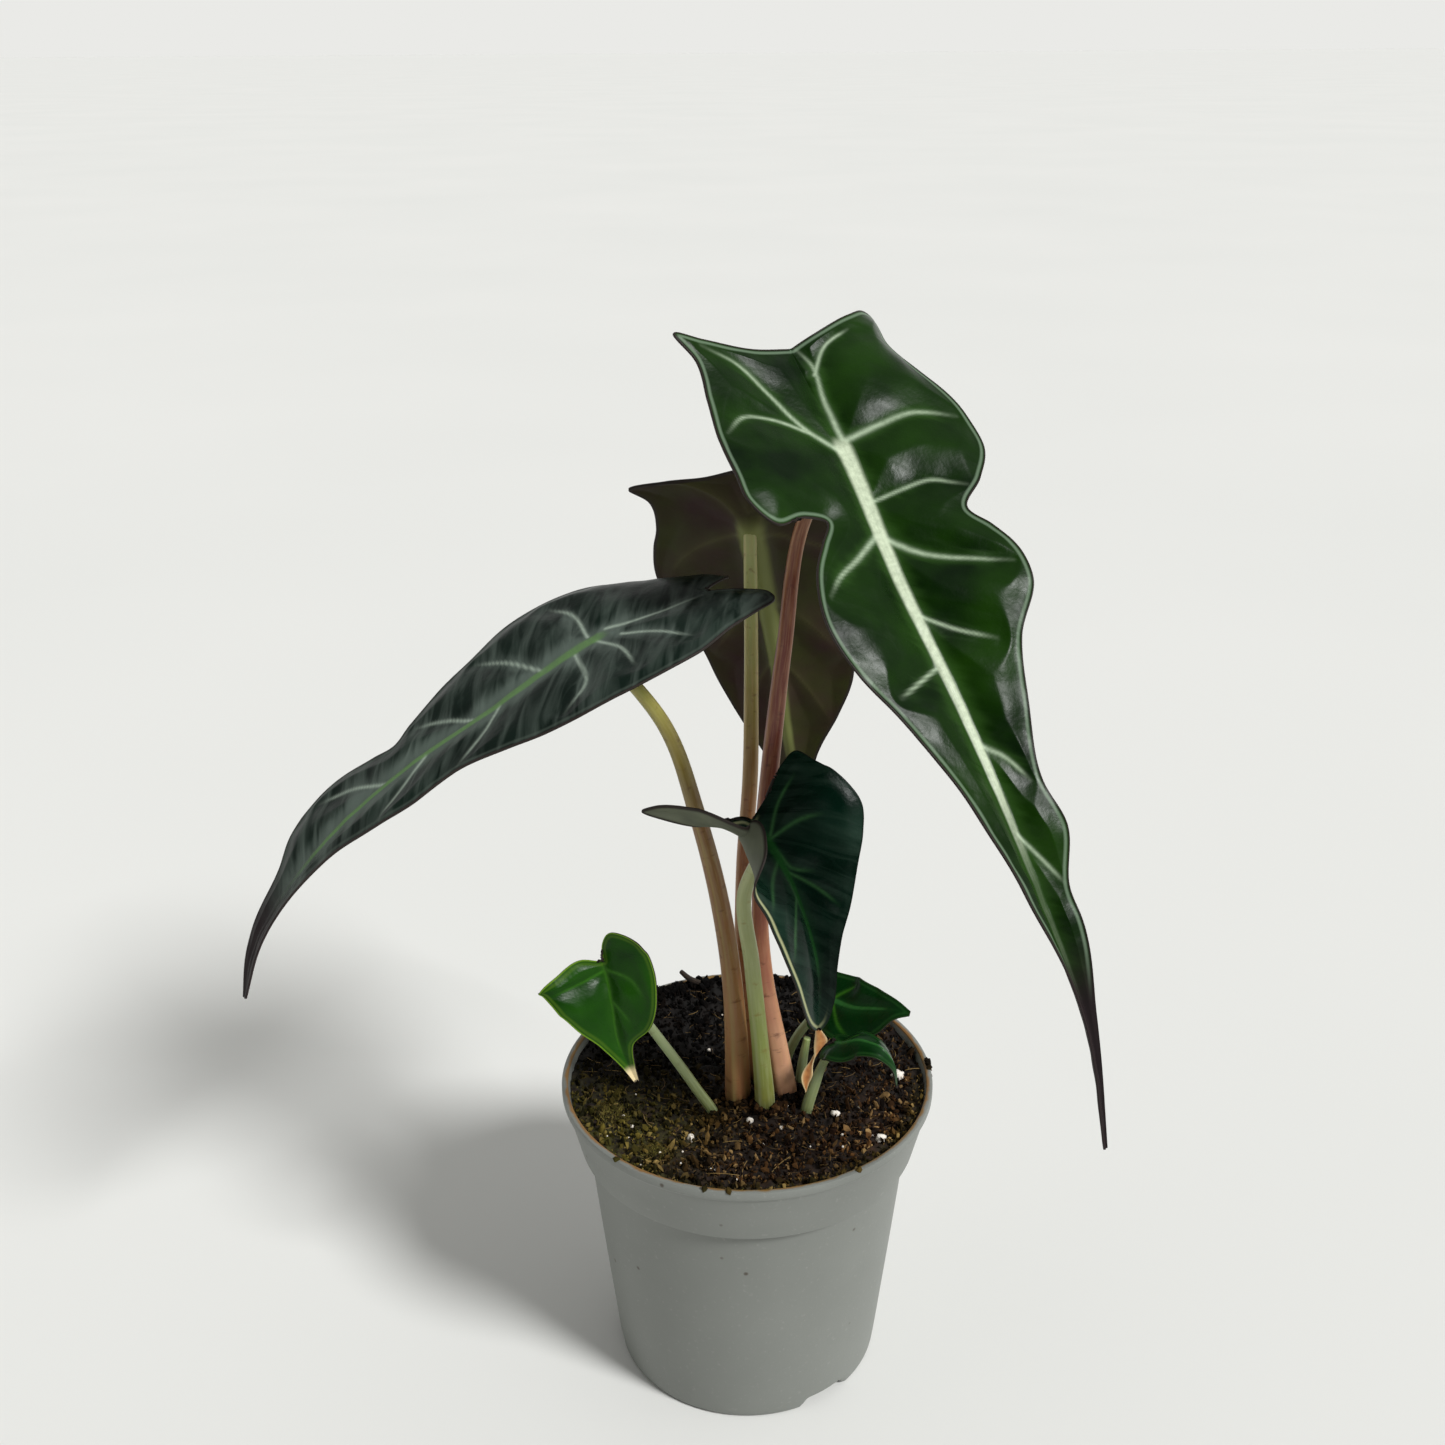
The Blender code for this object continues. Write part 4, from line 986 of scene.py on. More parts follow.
            (0, -0.3, 1), (0, -0.3, 1), (0, -0.3, 1), (0.4, -0.3, 0.9), (0.8, -0.3, 0.4), (0.9, -0.3, 0.1),
        ],
        right=dict(
            back=[(9, -4, 12)],
            back_face=[(0, -0.3, 1)],
            fold=[-25] * 7,
            curl=[0] * 7,
            margin=[
                (-1.4, 0.3, -1.4), (-3, 1.5, -1.2), (-3, 3, -1), (0, 3.6, 0), (4, 3, 3.5), (8, 2, 8),
                (11, 1, 11), (14.2, 0.3, 14.2),
            ],
        ),
        left=dict(
            back=[(9, -4, 12)],
            back_face=[(0, -0.3, 1)],
            fold=[-12] * 7,
            curl=[0] * 7,
            margin=[
                (-1.4, 0.3, -1.4), (-3, 1.5, -1.2), (-3, 3, -1), (0, 3.6, 0), (4, 3, 3.5), (8, 2, 8),
                (11, 1, 11), (14.2, 0.3, 14.2),
            ],
        ),
    ),
}

STALK_DEPTH = 6.0


def stalk(name, route, radius, blade, depth, channel, facing, material):
    """A petiole from its seat under the peat to its blade, or to its cut end where it has none."""
    route = [tuple(point) for point in route]
    radius = list(radius)
    if blade:
        route.append(tuple(blade_underside(BLADES[blade], depth)))
    x, y, z = route[0]
    points = [(x, y, z - STALK_DEPTH)] + route
    made = rolled(name, points, [radius[0]] + radius, channel, facing, material, STALK_DEPTH)
    return made


OLIVE = [
    (0.0, "5E3E24"), (0.06, "A0704A"), (0.16, "A87A52"), (0.34, "8A6038"), (0.58, "7E5A36"),
    (0.74, "847434"), (1.0, "8F9448"),
]
made = stalk(
    "petiole_left_skin",
    [(-1.5, -4, 0), (-1.7, -3.5, 10), (-2.2, -3, 20), (-4, -3, 35), (-7.5, -4.5, 52), (-12, -8, 68)],
    [2.1, 1.85, 1.6, 1.45, 1.25, 1.05, 0.9],
    "leaf_left",
    0.9,
    0.06,
    (0.6, -0.8, 0),
    petiole_material("petiole_skin_tan_to_olive", OLIVE, "A89A62", "5E3A1E"),
)
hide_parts("petiole_left")
BACK = [
    (0.0, "6A4A34"), (0.08, "B0805C"), (0.2, "A8704A"), (0.5, "8C5A3C"), (0.72, "8A7F3D"), (0.9, "98A060"),
    (1.0, "A4AA70"),
]
made = stalk(
    "petiole_back_skin",
    [(0.4, 1.6, 0), (-0.5, 2, 15), (-0.4, 4, 39), (0.6, 6, 53), (0.8, 8.5, 67)],
    [1.6, 1.3, 1.2, 1.2, 1.1, 1.0],
    "leaf_back",
    0.9,
    0.06,
    (0, -1, 0),
    petiole_material("petiole_skin_rust_to_pale_green", BACK, "B59A70", "5A3222"),
)
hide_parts("petiole_back")
RED = [
    (0.0, "86604A"), (0.05, "D0A080"), (0.13, "C08A6C"), (0.26, "96543E"), (0.45, "783C2E"),
    (0.75, "6C3226"), (1.0, "78502E"),
]
made = stalk(
    "petiole_main_skin",
    [(6.3, -3, 0), (5.2, -2.4, 7), (2.7, -1, 22), (2, 0, 38), (3.5, 1, 57), (5.5, 2, 76), (8, 3, 94)],
    [1.9, 1.75, 1.4, 1.2, 1.35, 1.15, 1.0, 0.95],
    "leaf_main",
    0.9,
    0.12,
    (0.1, -1, 0),
    petiole_material("petiole_skin_red_brown", RED, "BC9268", "4A1E1A"),
)
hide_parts("petiole_main")
PALE = [(0.0, "56582C"), (0.07, "868A44"), (0.25, "8E9A52"), (0.6, "9AA26C"), (1.0, "A2AA7C")]
made = stalk(
    "petiole_young_skin",
    [(2.8, -6.2, 0), (2, -6.5, 12), (0.6, -7.3, 28), (-0.5, -7.6, 40)],
    [1.6, 1.35, 1.2, 1.1, 0.9],
    "leaf_young",
    0.7,
    0.08,
    (0.4, -0.9, 0),
    petiole_material("petiole_skin_pale_green", PALE, "B8BE90", "8A7A3C"),
)
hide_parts("petiole_young")
SHOOT = [(0.0, "565E38"), (0.1, "7C8654"), (0.5, "8E9C70"), (1.0, "8A9C5C")]
shoot_skin = petiole_material("shoot_skin_grey_green", SHOOT, "A8B28C", "7A8058", 0.45)
for node, route, radius, blade in (
    (
        "offset_left_petiole", [(-5, -8.5, 0), (-8.2, -8.4, 6), (-15.5, -8.3, 18)], [0.85, 0.8, 0.7, 0.5],
        "offset_left_leaf",
    ),
    (
        "offset_right_petiole", [(6, 3.8, 0), (8.2, 5, 6), (11.8, 5.6, 10.6)], [0.85, 0.75, 0.7, 0.5],
        "offset_right_leaf",
    ),
    (
        "offset_right_curled_petiole",
        [(9.3, -7, 0), (10.6, -6.6, 5), (12, -6, 8.8)],
        [0.95, 0.85, 0.65, 0.45],
        "offset_right_curled_leaf",
    ),
    ("sheath_stub", [(8.8, 1.4, 0), (9.2, 1.3, 4.5), (9.8, 1.2, 8.5)], [0.85, 0.75, 0.55], None),
):
    made = stalk(node + "_skin", route, radius, blade, 0.4, 0.05, (0, -1, 0.2), shoot_skin)
    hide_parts(node)

# Rootstock: the short fibrous stem under the peat that the stalks grow from; only its material
# changes, from the CAD node, because the peat hides it.
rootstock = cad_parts["rootstock"]
bark, tree, shader = new_material("fibrous_rootstock", 0.85, 1.45)
spot = place_of(tree)
rings = cloudy(tree, spot, per(2), 5.0)
stops = [(0.3, "3A2213"), (0.7, "7A5434")]
tree.links.new(shades(tree, rings, stops), shader.inputs["Base Color"])
rootstock.data.materials.clear()
rootstock.data.materials.append(bark)

# Blades: leathery arrow-shaped leaves, grown in one piece, quilted between pale veins, with a
# fine dark margin and a paler vein just inside it. The underside is dull and purple-brown.


def distance_to(points, line, closed=False):
    """Each point's distance to a line of straight runs, and how far along it the nearest place is."""
    line = np.asarray(line, float)
    total = lengths_along(line)
    best = np.full(len(points), 1e9)
    share = np.zeros(len(points))
    for a, b, start, end in zip(line, line[1:], total, total[1:]):
        run = b - a
        t = np.clip(((points - a) @ run) / max(run @ run, 1e-9), 0, 1)
        off = np.linalg.norm(points - a - t[:, None] * run, axis=1)
        nearer = off < best
        best = np.where(nearer, off, best)
        share = np.where(nearer, (start + t * (end - start)) / total[-1], share)
    return best, share


def rounded(line, steps=24):
    """The smooth curve through a line's points."""
    line = np.asarray(line, float)
    along = lengths_along(line)
    return smooth_curve(along, line, np.linspace(0, along[-1], steps))


def even_rows(halves, rows):
    """For each row, where its rib leaves the midrib and its margin points on the two halves."""
    first = max(half.margin[0, 2] for half in halves)
    last = min(half.margin[-1, 2] for half in halves)
    at = np.linspace(first, last, 3000)
    tables, total = [], 0
    for half in halves:
        length = lengths_along(half.margin[:, :2])
        t = np.linspace(0, length[-1], 6000)
        start = np.maximum.accumulate(smooth_curve(length, half.margin[:, 2], t))
        # Ribs into the back lobes leave the midrib early, so that they meet the margin at an angle.
        notch = half.margin[0, 2]
        start = np.where(start < 0, notch * (1 - np.clip(1 - start / notch, 0, 1) ** 0.6), start) + t * 0.06
        # Ribs that fan out from one place are kept a little apart along the midrib.
        start = np.interp(start, start[[0, -1]], half.margin[[0, -1], 2])
        tables.append((length, start, t))
        total = total + np.interp(at, start, t)
    starts = np.interp(np.linspace(total[0], total[-1], rows), total, at)
    edges = []
    for half, (length, start, t) in zip(halves, tables):
        edges.append(smooth_curve(length, half.margin[:, :2], np.interp(starts, start, t)))
    return starts, edges


def half_grid(half, starts, edge, columns):
    """A half's places, facings and flat places, with its columns closer at the midrib and margin."""
    even = np.linspace(0, 1, columns + 1)
    share = 0.45 * even + 0.55 * (1 - np.cos(np.pi * even)) / 2
    along = starts[:, None] + (edge[:, 0:1] - starts[:, None]) * share
    out = edge[:, 1:2] * share
    place, facing = half.place(along.ravel(), out.ravel())
    size = (len(starts), columns + 1, 3)
    return place.reshape(size), facing.reshape(size), along, out


def make_blade(name, node, look, materials):
    """A blade: a grid laid over the leaf from margin to margin, quilted, then given its thickness."""
    shape = BLADES[node]
    rows, columns = look["rows"], look["columns"]
    halves = [HalfBlade(shape, "left"), HalfBlade(shape, "right")]
    starts, edges = even_rows(halves, rows)
    left, left_normal, left_along, left_out = half_grid(halves[0], starts, edges[0], columns)
    right, right_normal, right_along, right_out = half_grid(halves[1], starts, edges[1], columns)
    near = (1 - np.linspace(0, 1, columns + 1)) ** 2
    middle = (left[:, :1] + right[:, :1]) / 2
    left = left + (middle - left[:, :1]) * near[None, :, None]
    right = right + (middle - right[:, :1]) * near[None, :, None]
    place = np.concatenate([left[:, :0:-1], right], axis=1)
    normal = np.concatenate([left_normal[:, :0:-1], right_normal], axis=1)
    along = np.concatenate([left_along[:, :0:-1], right_along], axis=1)
    out = np.concatenate([-left_out[:, :0:-1], right_out], axis=1)
    level = unit(left_normal[:, :1] + right_normal[:, :1])
    own = ease(abs(out), 0.2, 2.5)[..., None]
    normal = unit(level * (1 - own) + normal * own)
    flat = np.stack([along.ravel(), out.ravel()], axis=1)
    margin = np.minimum(
        distance_to(flat, edges[1])[0] + np.where(out.ravel() < 0, 1e3, 0),
        distance_to(flat, edges[0] * (1, -1))[0] + np.where(out.ravel() > 0, 1e3, 0),
    )
    tip = starts[-1]
    rib_width = np.interp(flat[:, 0], [look["notch"], 0, tip * 0.3, tip * 0.8, tip], look["rib"])
    rib = 1 - ease(abs(flat[:, 1]) / np.maximum(rib_width, 0.05), 0.5, 1.2)
    rib = rib * ease(flat[:, 0], look["rib_from"], look["rib_from"] + 2.5)
    rib = rib * (1 - 0.92 * ease(flat[:, 0], tip * look["rib_fade"][0], tip * look["rib_fade"][1]))
    from_vein = np.abs(flat[:, 1]) + np.where(flat[:, 0] < 0, 1.0, 0)
    vein = np.zeros(len(flat))
    halo = np.exp(-((abs(flat[:, 1]) / look["rib_halo"]) ** 2)) * ease(flat[:, 0], look["rib_from"] - 6, 0)
    halo = halo * (1 - 0.8 * ease(flat[:, 0], tip * 0.5, tip * 0.9))
    for line, width in look["veins"]:
        off, share = distance_to(flat, rounded(line))
        here = np.maximum(width * look["vein_width"] * (1 - 0.5 * share), look["finest"])
        strength = (1 - 0.3 * share) * (1 - 0.85 * ease(share, 0.7, 1.0))
        vein = np.maximum(vein, np.exp(-((off / here) ** 2)) * strength)
        halo = np.maximum(halo, np.exp(-((off / look["vein_halo"]) ** 2)) * strength * width / 0.85)
        from_vein = np.minimum(from_vein, off + share * 0.3)
    quilt = look["quilt"] * (1 - np.exp(-((np.minimum(from_vein, margin * 1.3) / look["quilt_width"]) ** 2)))
    cord = look["cord"] * np.exp(-((flat[:, 1] / np.maximum(rib_width * 0.8, 0.1)) ** 2)) * ease(
        flat[:, 0], -4, 2
    )
    grit = np.array([noise.noise(Vector((a / 3.1, o / 3.1, look["seed"]))) for a, o in flat]) * look["dents"]
    wave = np.array([noise.noise(Vector((a / 9.0, math.copysign(4, o), look["seed"]))) for a, o in flat])
    wave = wave * look["wave"] * np.exp(-margin / 3.0) * ease(abs(flat[:, 1]), 0.5, 5)
    probe = halves[1].frame(np.array([0.0]))[1][0]
    nearest = int(np.argmin(abs(starts)))
    fade = ease(margin, 0, 0.8) * ease(starts[-1] - flat[:, 0], 0, 6)
    height = (quilt + cord + grit * fade) * ease(starts[-1] - flat[:, 0], 0, 8) + wave
    place = place + normal * height.reshape(rows, -1, 1)

    bpy.ops.mesh.primitive_grid_add(x_subdivisions=2 * columns, y_subdivisions=rows - 1, size=2)
    made = bpy.context.object
    made.name = name
    put_points(made, place.reshape(-1, 3) + (0, 0, CROWN))
    for key, values in (("rib", rib), ("vein", vein), ("halo", halo), ("edge", np.clip(margin, 0, 8))):
        store(made, key, values)
    store(made, "tip", ease(flat[:, 0], tip * look["tail"][0], tip * look["tail"][1]))
    store(made, "pale", ease(flat[:, 1] * look["pale_side"], -1.5, 0.5))
    keep_map(made, "surface", flat[:, ::-1])
    thick = made.vertex_groups.new(name="thick")
    under = np.exp(-((flat[:, 1] / np.maximum(rib_width * 0.9, 0.25)) ** 2)) * look["under_rib"]
    under = under * (1 - ease(flat[:, 0], tip * 0.25, tip * 0.55)) * ease(flat[:, 0], -3, 0)
    weights = np.clip(under + 0.12 * vein, 0, 1)
    for index, weight in enumerate(weights):
        if weight > 0.01:
            thick.add([index], float(weight), "REPLACE")
    centre_face = made.data.polygons[nearest * 2 * columns + columns]
    if np.array(centre_face.normal) @ probe < 0:
        made.data.flip_normals()
    solidify = made.modifiers.new("thickness", "SOLIDIFY")
    solidify.thickness = look["thickest"] * MM
    solidify.offset = -1
    solidify.vertex_group = "thick"
    solidify.thickness_vertex_group = look["thin"] / look["thickest"]
    solidify.material_offset = 1
    solidify.material_offset_rim = 1
    for material in materials:
        made.data.materials.append(material)
    bpy.ops.object.modifier_apply(modifier="thickness")
    made.data.shade_smooth()
    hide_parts(node)
    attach(made, "root")
    return made


def blade_material(name, look):
    """The upper side of a blade: a waxed, leathery skin with pale veins and a purple-black edge."""
    material, tree, shader = new_material(name, look["roughness"], 1.45)
    surface = add(tree, "ShaderNodeUVMap", {"uv_map": "surface"}).outputs[0]

    # Patches of lighter green about 12 mm across, over cells of under a millimetre.
    patch = cloudy(tree, surface, 17.0, 3.0)
    patch = shades(tree, patch, [(0.35, 0.0), (0.68, 1.0)])
    tint = blend(tree, patch, srgb(look["deep"]), srgb(look["light"]))
    skin = cloudy(tree, surface, 260.0, 4.0)
    # Silvery streaks, partly the leaf's own silver and partly painted sheen, slant out from the midrib
    # towards the tip, 2.5 mm wide and some 8 mm long.
    parts = add(tree, "ShaderNodeSeparateXYZ", None, {0: surface})
    aside = maths(tree, "ABSOLUTE", parts.outputs["X"])
    slant = maths(tree, "MULTIPLY_ADD", aside, -0.7, parts.outputs["Y"])
    short = maths(tree, "MULTIPLY", parts.outputs["X"], 0.3)
    drawn = add(tree, "ShaderNodeCombineXYZ", None, {"X": short, "Y": slant})
    streak = add(
        tree, "ShaderNodeTexNoise", None, {
            "Vector": drawn.outputs[0], "Scale": 78.0, "Detail": 3.0, "Distortion": 0.9
        }
    ).outputs[0]
    ramp = shades(tree, streak, [(0.4, 0.0), (0.68, 1.0)])
    share = maths(tree, "MULTIPLY", ramp, look["silver_and_sheen_share"])
    tint = blend(tree, share, tint, srgb(look["silver_and_sheen"]))
    broken = maths(tree, "MULTIPLY_ADD", streak, 0.9, read(tree, "halo"))
    settings = {"interpolation_type": "SMOOTHSTEP"}
    ramp = add(tree, "ShaderNodeMapRange", settings, {0: broken, 1: 0.55, 2: 1.3}).outputs[0]
    soft = maths(tree, "MULTIPLY", ramp, look["halo_share"])
    tint = blend(tree, soft, tint, srgb(look["halo"]))
    uneven = maths(tree, "MULTIPLY_ADD", skin, 0.7, 0.5)
    share = maths(tree, "MULTIPLY", read(tree, "vein"), uneven, clamp=True)
    tint = blend(tree, share, tint, srgb(look["vein"]))
    share = maths(tree, "MULTIPLY", read(tree, "rib"), uneven, clamp=True)
    tint = blend(tree, share, tint, srgb(look["rib_tint"]))
    # The margin from the edge inwards: dark for 0.25 mm, then a pale line 0.5 mm in.
    reach = ramp_up(tree, read(tree, "edge"), 0.0, 2.0)
    stops = [(0.13, 0.0), (0.24, look["line_share"]), (0.32, look["line_share"]), (0.45, 0.0)]
    pale = shades(tree, reach, stops)
    pale = maths(tree, "MULTIPLY", pale, read(tree, "pale"))
    tint = blend(tree, pale, tint, srgb(look["line"]))
    dark = shades(tree, reach, [(0.05, 1.0), (0.12, 0.0)])
    tint = blend(tree, dark, tint, srgb(look["margin"]))
    tint = blend(tree, read(tree, "tip"), tint, srgb(look["tip"]))
    tree.links.new(tint, shader.inputs["Base Color"])
    rough = look["roughness"]
    sockets = {0: streak, 1: 0.3, 2: 0.7, 3: rough - 0.04, 4: rough + 0.08}
    worn = add(tree, "ShaderNodeMapRange", None, sockets)
    tree.links.new(worn.outputs[0], shader.inputs["Roughness"])
    shader.inputs["Specular IOR Level"].default_value = look["wax"]
    roughen(tree, shader, 0.3, 0.12, skin)
    return material


def underside_material(name, deep, light, rib_tint, vein_tint):
    """The underside of a blade: dull, faintly bloomed, purple-brown to olive, with raised pale ribs."""
    material, tree, shader = new_material(name, 0.55, 1.42)
    shader.inputs["Specular IOR Level"].default_value = 0.22
    surface = add(tree, "ShaderNodeUVMap", {"uv_map": "surface"}).outputs[0]

    patch = cloudy(tree, surface, 20.0, 4.0)
    patch = shades(tree, patch, [(0.35, 0.0), (0.65, 1.0)])
    tint = blend(tree, patch, srgb(deep), srgb(light))
    share = maths(tree, "MULTIPLY", read(tree, "halo"), 0.4)
    tint = blend(tree, share, tint, srgb(vein_tint))
    share = maths(tree, "MULTIPLY", read(tree, "vein"), 0.5)
    tint = blend(tree, share, tint, srgb(vein_tint))
    tint = blend(tree, read(tree, "rib"), tint, srgb(rib_tint))
    reach = ramp_up(tree, read(tree, "edge"), 0.0, 3.0)
    dark = shades(tree, reach, [(0.08, 1.0), (0.2, 0.0)])
    tint = blend(tree, dark, tint, srgb("2A2420"))
    share = maths(tree, "MULTIPLY", read(tree, "tip"), 0.8)
    tint = blend(tree, share, tint, srgb("241A1C"))
    tree.links.new(tint, shader.inputs["Base Color"])
    fine = cloudy(tree, surface, 300.0, 3.0)
    roughen(tree, shader, 0.25, 0.1, fine)
    return material


under_brown = underside_material("blade_underside_purple_brown", "2E1C19", "2E300F", "6E7442", "4C4A2C")
under_grey = underside_material("blade_underside_grey_olive", "4E5246", "666B58", "8E9470", "7A8064")
under_green = underside_material("blade_underside_fresh_green", "3E5A1E", "56742A", "7C8E44", "6E8238")

LOOK = dict(
    rows=300, columns=44, notch=-17, rib=[0.5, 1.5, 1.0, 0.6, 0.25], rib_from=-2.5, rib_fade=(0.6, 0.75),
    rib_halo=2.2, vein_halo=1.3, vein_width=0.5, quilt=0.8, quilt_width=3.2, cord=0.35, dents=0.12, seed=1.0,
    wave=0.3, tail=(0.7, 0.8), under_rib=1.0, thickest=1.7, thin=0.32, roughness=0.3, finest=0.24,
    deep="031601",
    light="153203", silver_and_sheen="6F7A72", silver_and_sheen_share=0.0, halo="365A22", halo_share=0.35, vein="A8BA9E",
    rib_tint="C8D4B8", line="8FA88C", line_share=0.45, margin="2A2220", tip="1E1618", wax=0.13, pale_side=0,
)

# Back blade: stands behind the others and turns its underside to the front.
BACK_LOOK = dict(
    LOOK, rows=220, columns=40, notch=-11, rib=[0.8, 2.2, 1.3, 0.7, 0.3], seed=3.0, under_rib=1.0,
    thickest=1.9,
    cord=-0.2, quilt=0.6, tail=(0.9, 1.0),
    veins=[
        ([(-1, 1), (-5, 4), (-8, 9), (-8, 14)], 0.8), ([(-1, -1), (-5, -4), (-9, -9), (-9.5, -14)], 0.8),
        ([(1, 1), (3, 6), (7, 12), (11, 15)], 0.7), ([(1, -1), (3, -6), (7, -12), (11, -15)], 0.7),
        ([(15, 0.5), (20, 5), (27, 10)], 0.6), ([(15, -0.5), (20, -5), (27, -10)], 0.6),
        ([(28, 0.5), (34, 4), (41, 7)], 0.5), ([(28, -0.5), (34, -4), (42, -7.5)], 0.5),
    ],
)
make_blade(
    "leaf_back_blade", "leaf_back", BACK_LOOK, [
        blade_material("blade_waxed_deep_green_back", BACK_LOOK), under_brown
    ]
)

# Left blade: lies nearly level, so the bright room makes its dark upper side look silvery; that sheen is also
# painted into its colour, as silver streaks and broad grey halos along its veins.
LEFT_LOOK = dict(
    LOOK, rows=280, columns=42, notch=-17.3, rib=[0.3, 0.9, 0.5, 0.4, 0.2], seed=5.0, quilt=0.7,
    quilt_width=2.6,
    cord=0.2, rib_halo=2.6, vein_halo=1.8, deep="030E09", light="0A1C14", silver_and_sheen="66726A", silver_and_sheen_share=0.28,
    halo="66726A", halo_share=0.5, vein="9AA89A", rib_tint="587848", line="5A665C", line_share=0.3,
    roughness=0.34, tail=(0.7, 0.85),
    veins=[
        ([(-2, -1), (-9, 0.8), (-16, 1)], 0.55), ([(-3.4, 1.8), (-7.4, 5.3), (-10.8, 9.9)], 0.55),
        ([(0.7, -1.2), (0.5, -7.5), (2.5, -12)], 0.5), ([(8.5, -0.2), (11.5, -5.9), (15.7, -10.9)], 0.5),
        ([(3.6, 0.8), (5, 8), (9.6, 11)], 0.55), ([(20, -0.3), (24, -4), (28, -6.5)], 0.4),
        ([(16, 0.4), (20, 4), (24.5, 7)], 0.45), ([(28, 0.3), (33, 3.5), (37.5, 5.5)], 0.4),
        ([(35, -0.3), (40, -4.5), (45, -7)], 0.4), ([(0, 0.5), (-2, 5), (-2, 10.5)], 0.4),
    ],
)
make_blade(
    "leaf_left_blade", "leaf_left", LEFT_LOOK, [
        blade_material("blade_waxed_blue_green_left", LEFT_LOOK), under_brown
    ]
)

# Main blade: the tallest, facing the front, with a long channelled tail that ends in a hook.
MAIN_LOOK = dict(
    LOOK, rows=400, columns=52, seed=1.0, rib=[0.7, 1.35, 0.8, 0.45, 0.2], rib_fade=(0.46, 0.64), quilt=1.0,
    quilt_width=3.4, wave=0.4,
    veins=[
        ([(0.4, -0.5), (-4.1, -4.6), (-11, -7.5), (-15.1, -9.7), (-18.7, -14.8)], 0.8),
        ([(-3.2, -4.0), (-6.5, -9.5), (-7.4, -13.1), (-5.1, -17)], 0.6),
        ([(-1.5, 0.5), (-7.7, 0.9), (-13.9, 1.8), (-17, 0.6)], 0.8),
        ([(-12, 1.6), (-15.6, 4.6), (-18, 9.7)], 0.55),
        ([(-1.2, 1.1), (-1.7, 6.4), (-2, 10.8), (-0.1, 17.6)], 0.85),
        ([(8.8, 0), (8.1, 4.7), (7.7, 9.5), (9.7, 14.2)], 0.45),
        ([(14, 0.1), (18.3, 4.9), (21.3, 10.3), (23.9, 15.3)], 0.85),
        ([(13.9, -0.7), (17, -5.2), (19.5, -9.8), (21.3, -12)], 0.75),
        ([(44.6, 0), (47.2, 2.6), (51.3, 4.7)], 0.7), ([(33.5, -0.7), (35.8, -8.4)], 0.4),
        ([(26, 0.3), (30, 4.5), (33, 8.5)], 0.3), ([(57, 0.2), (62, 2.5), (65, 3.8)], 0.35),
    ],
)
make_blade(
    "leaf_main_blade", "leaf_main", MAIN_LOOK, [
        blade_material("blade_waxed_green_main", MAIN_LOOK), under_brown
    ]
)

# Young blade: newly opened, cupped, with one back lobe turned out level so its underside shows.
# Its silver streaks are painted sheen over its own dark blue-green.
YOUNG_LOOK = dict(
    LOOK, rows=220, columns=40, notch=-4.2, rib=[0.3, 0.7, 0.45, 0.3, 0.15], seed=8.0, quilt=0.4,
    quilt_width=2.0,
    cord=0.1, dents=0.06, wave=0.25, deep="021008", light="06261A", silver_and_sheen="3E5648", silver_and_sheen_share=0.25,
    halo="1E4428",
    halo_share=0.35, vein="3E6A3E", rib_tint="1E5222", line="A8AB80", line_share=0.8, margin="0E1A12",
    tip="3A4A38",
    tail=(0.95, 1.05), thickest=0.9, thin=0.28, roughness=0.26, pale_side=-1, rib_halo=1.2, vein_halo=1.0,
    veins=[
        ([(-0.3, 0.3), (-0.1, 6), (0.7, 9)], 0.35), ([(1.6, 0.3), (4.8, 1.1), (6.5, 3.9)], 0.3),
        ([(-0.5, 0.5), (-4, 5), (-6, 9)], 0.35), ([(5, 0.2), (9, 3.5), (12, 5.5)], 0.25),
        ([(3, -0.2), (6, -4), (9, -7)], 0.25), ([(9, -0.2), (13, -4), (17, -6.5)], 0.25),
    ],
)
make_blade(
    "leaf_young_blade", "leaf_young", YOUNG_LOOK, [
        blade_material("blade_new_dark_green_young", YOUNG_LOOK), under_grey
    ]
)

# Offset blades: three small soft leaves on the side shoots, folded and thin.
SMALL = dict(
    LOOK, rows=110, columns=24, rib=[0.3, 0.45, 0.3, 0.2, 0.1], quilt=0.35, quilt_width=1.8, cord=0.05,
    dents=0.16,
    wave=0.35, thickest=0.7, thin=0.28, silver_and_sheen_share=0.0, halo_share=0.25, line_share=0.3, roughness=0.26,
    deep="0A2E02", light="1E4C06", halo="264E10", vein="306016", rib_tint="2A5410", line="5E7E22",
    margin="5F7F1E",
    tip="E0CDA0", tail=(0.8, 0.88), rib_halo=1.0, vein_halo=0.8,
)
LEFT_SMALL = dict(
    SMALL, notch=-1.6, seed=11.0,
    veins=[
        ([(0, 0.4), (2, 4), (5, 6)], 0.3), ([(0, -0.4), (1, -5), (2, -9)], 0.3), ([(5, 0.3), (8, 3)], 0.2)
    ],
)
make_blade(
    "offset_left_blade", "offset_left_leaf", LEFT_SMALL,
    [blade_material("blade_soft_light_green", LEFT_SMALL), under_green],
)
RIGHT_SMALL = dict(
    SMALL, notch=-2.2, seed=12.0, deep="021C05", light="062E0A", halo="1E4A20", rib_tint="2A5A28",
    line="2E5A28",
    margin="1E3A16", tip="2A3A1A", tail=(0.95, 1.05),
    veins=[([(0, 0.4), (2, 2.5), (4, 4)], 0.25), ([(0, -0.4), (2, -3), (4, -5)], 0.25)],
)
right_green = blade_material("blade_soft_dark_green", RIGHT_SMALL)
make_blade("offset_right_blade", "offset_right_leaf", RIGHT_SMALL, [right_green, under_green])
CURLED = dict(RIGHT_SMALL, notch=-1.4, seed=13.0, quilt=0.15, wave=0.1, veins=[([(0, 0.3), (3, 2)], 0.2)])
make_blade(
    "offset_right_curled_blade", "offset_right_curled_leaf", CURLED, [right_green, under_green],
)

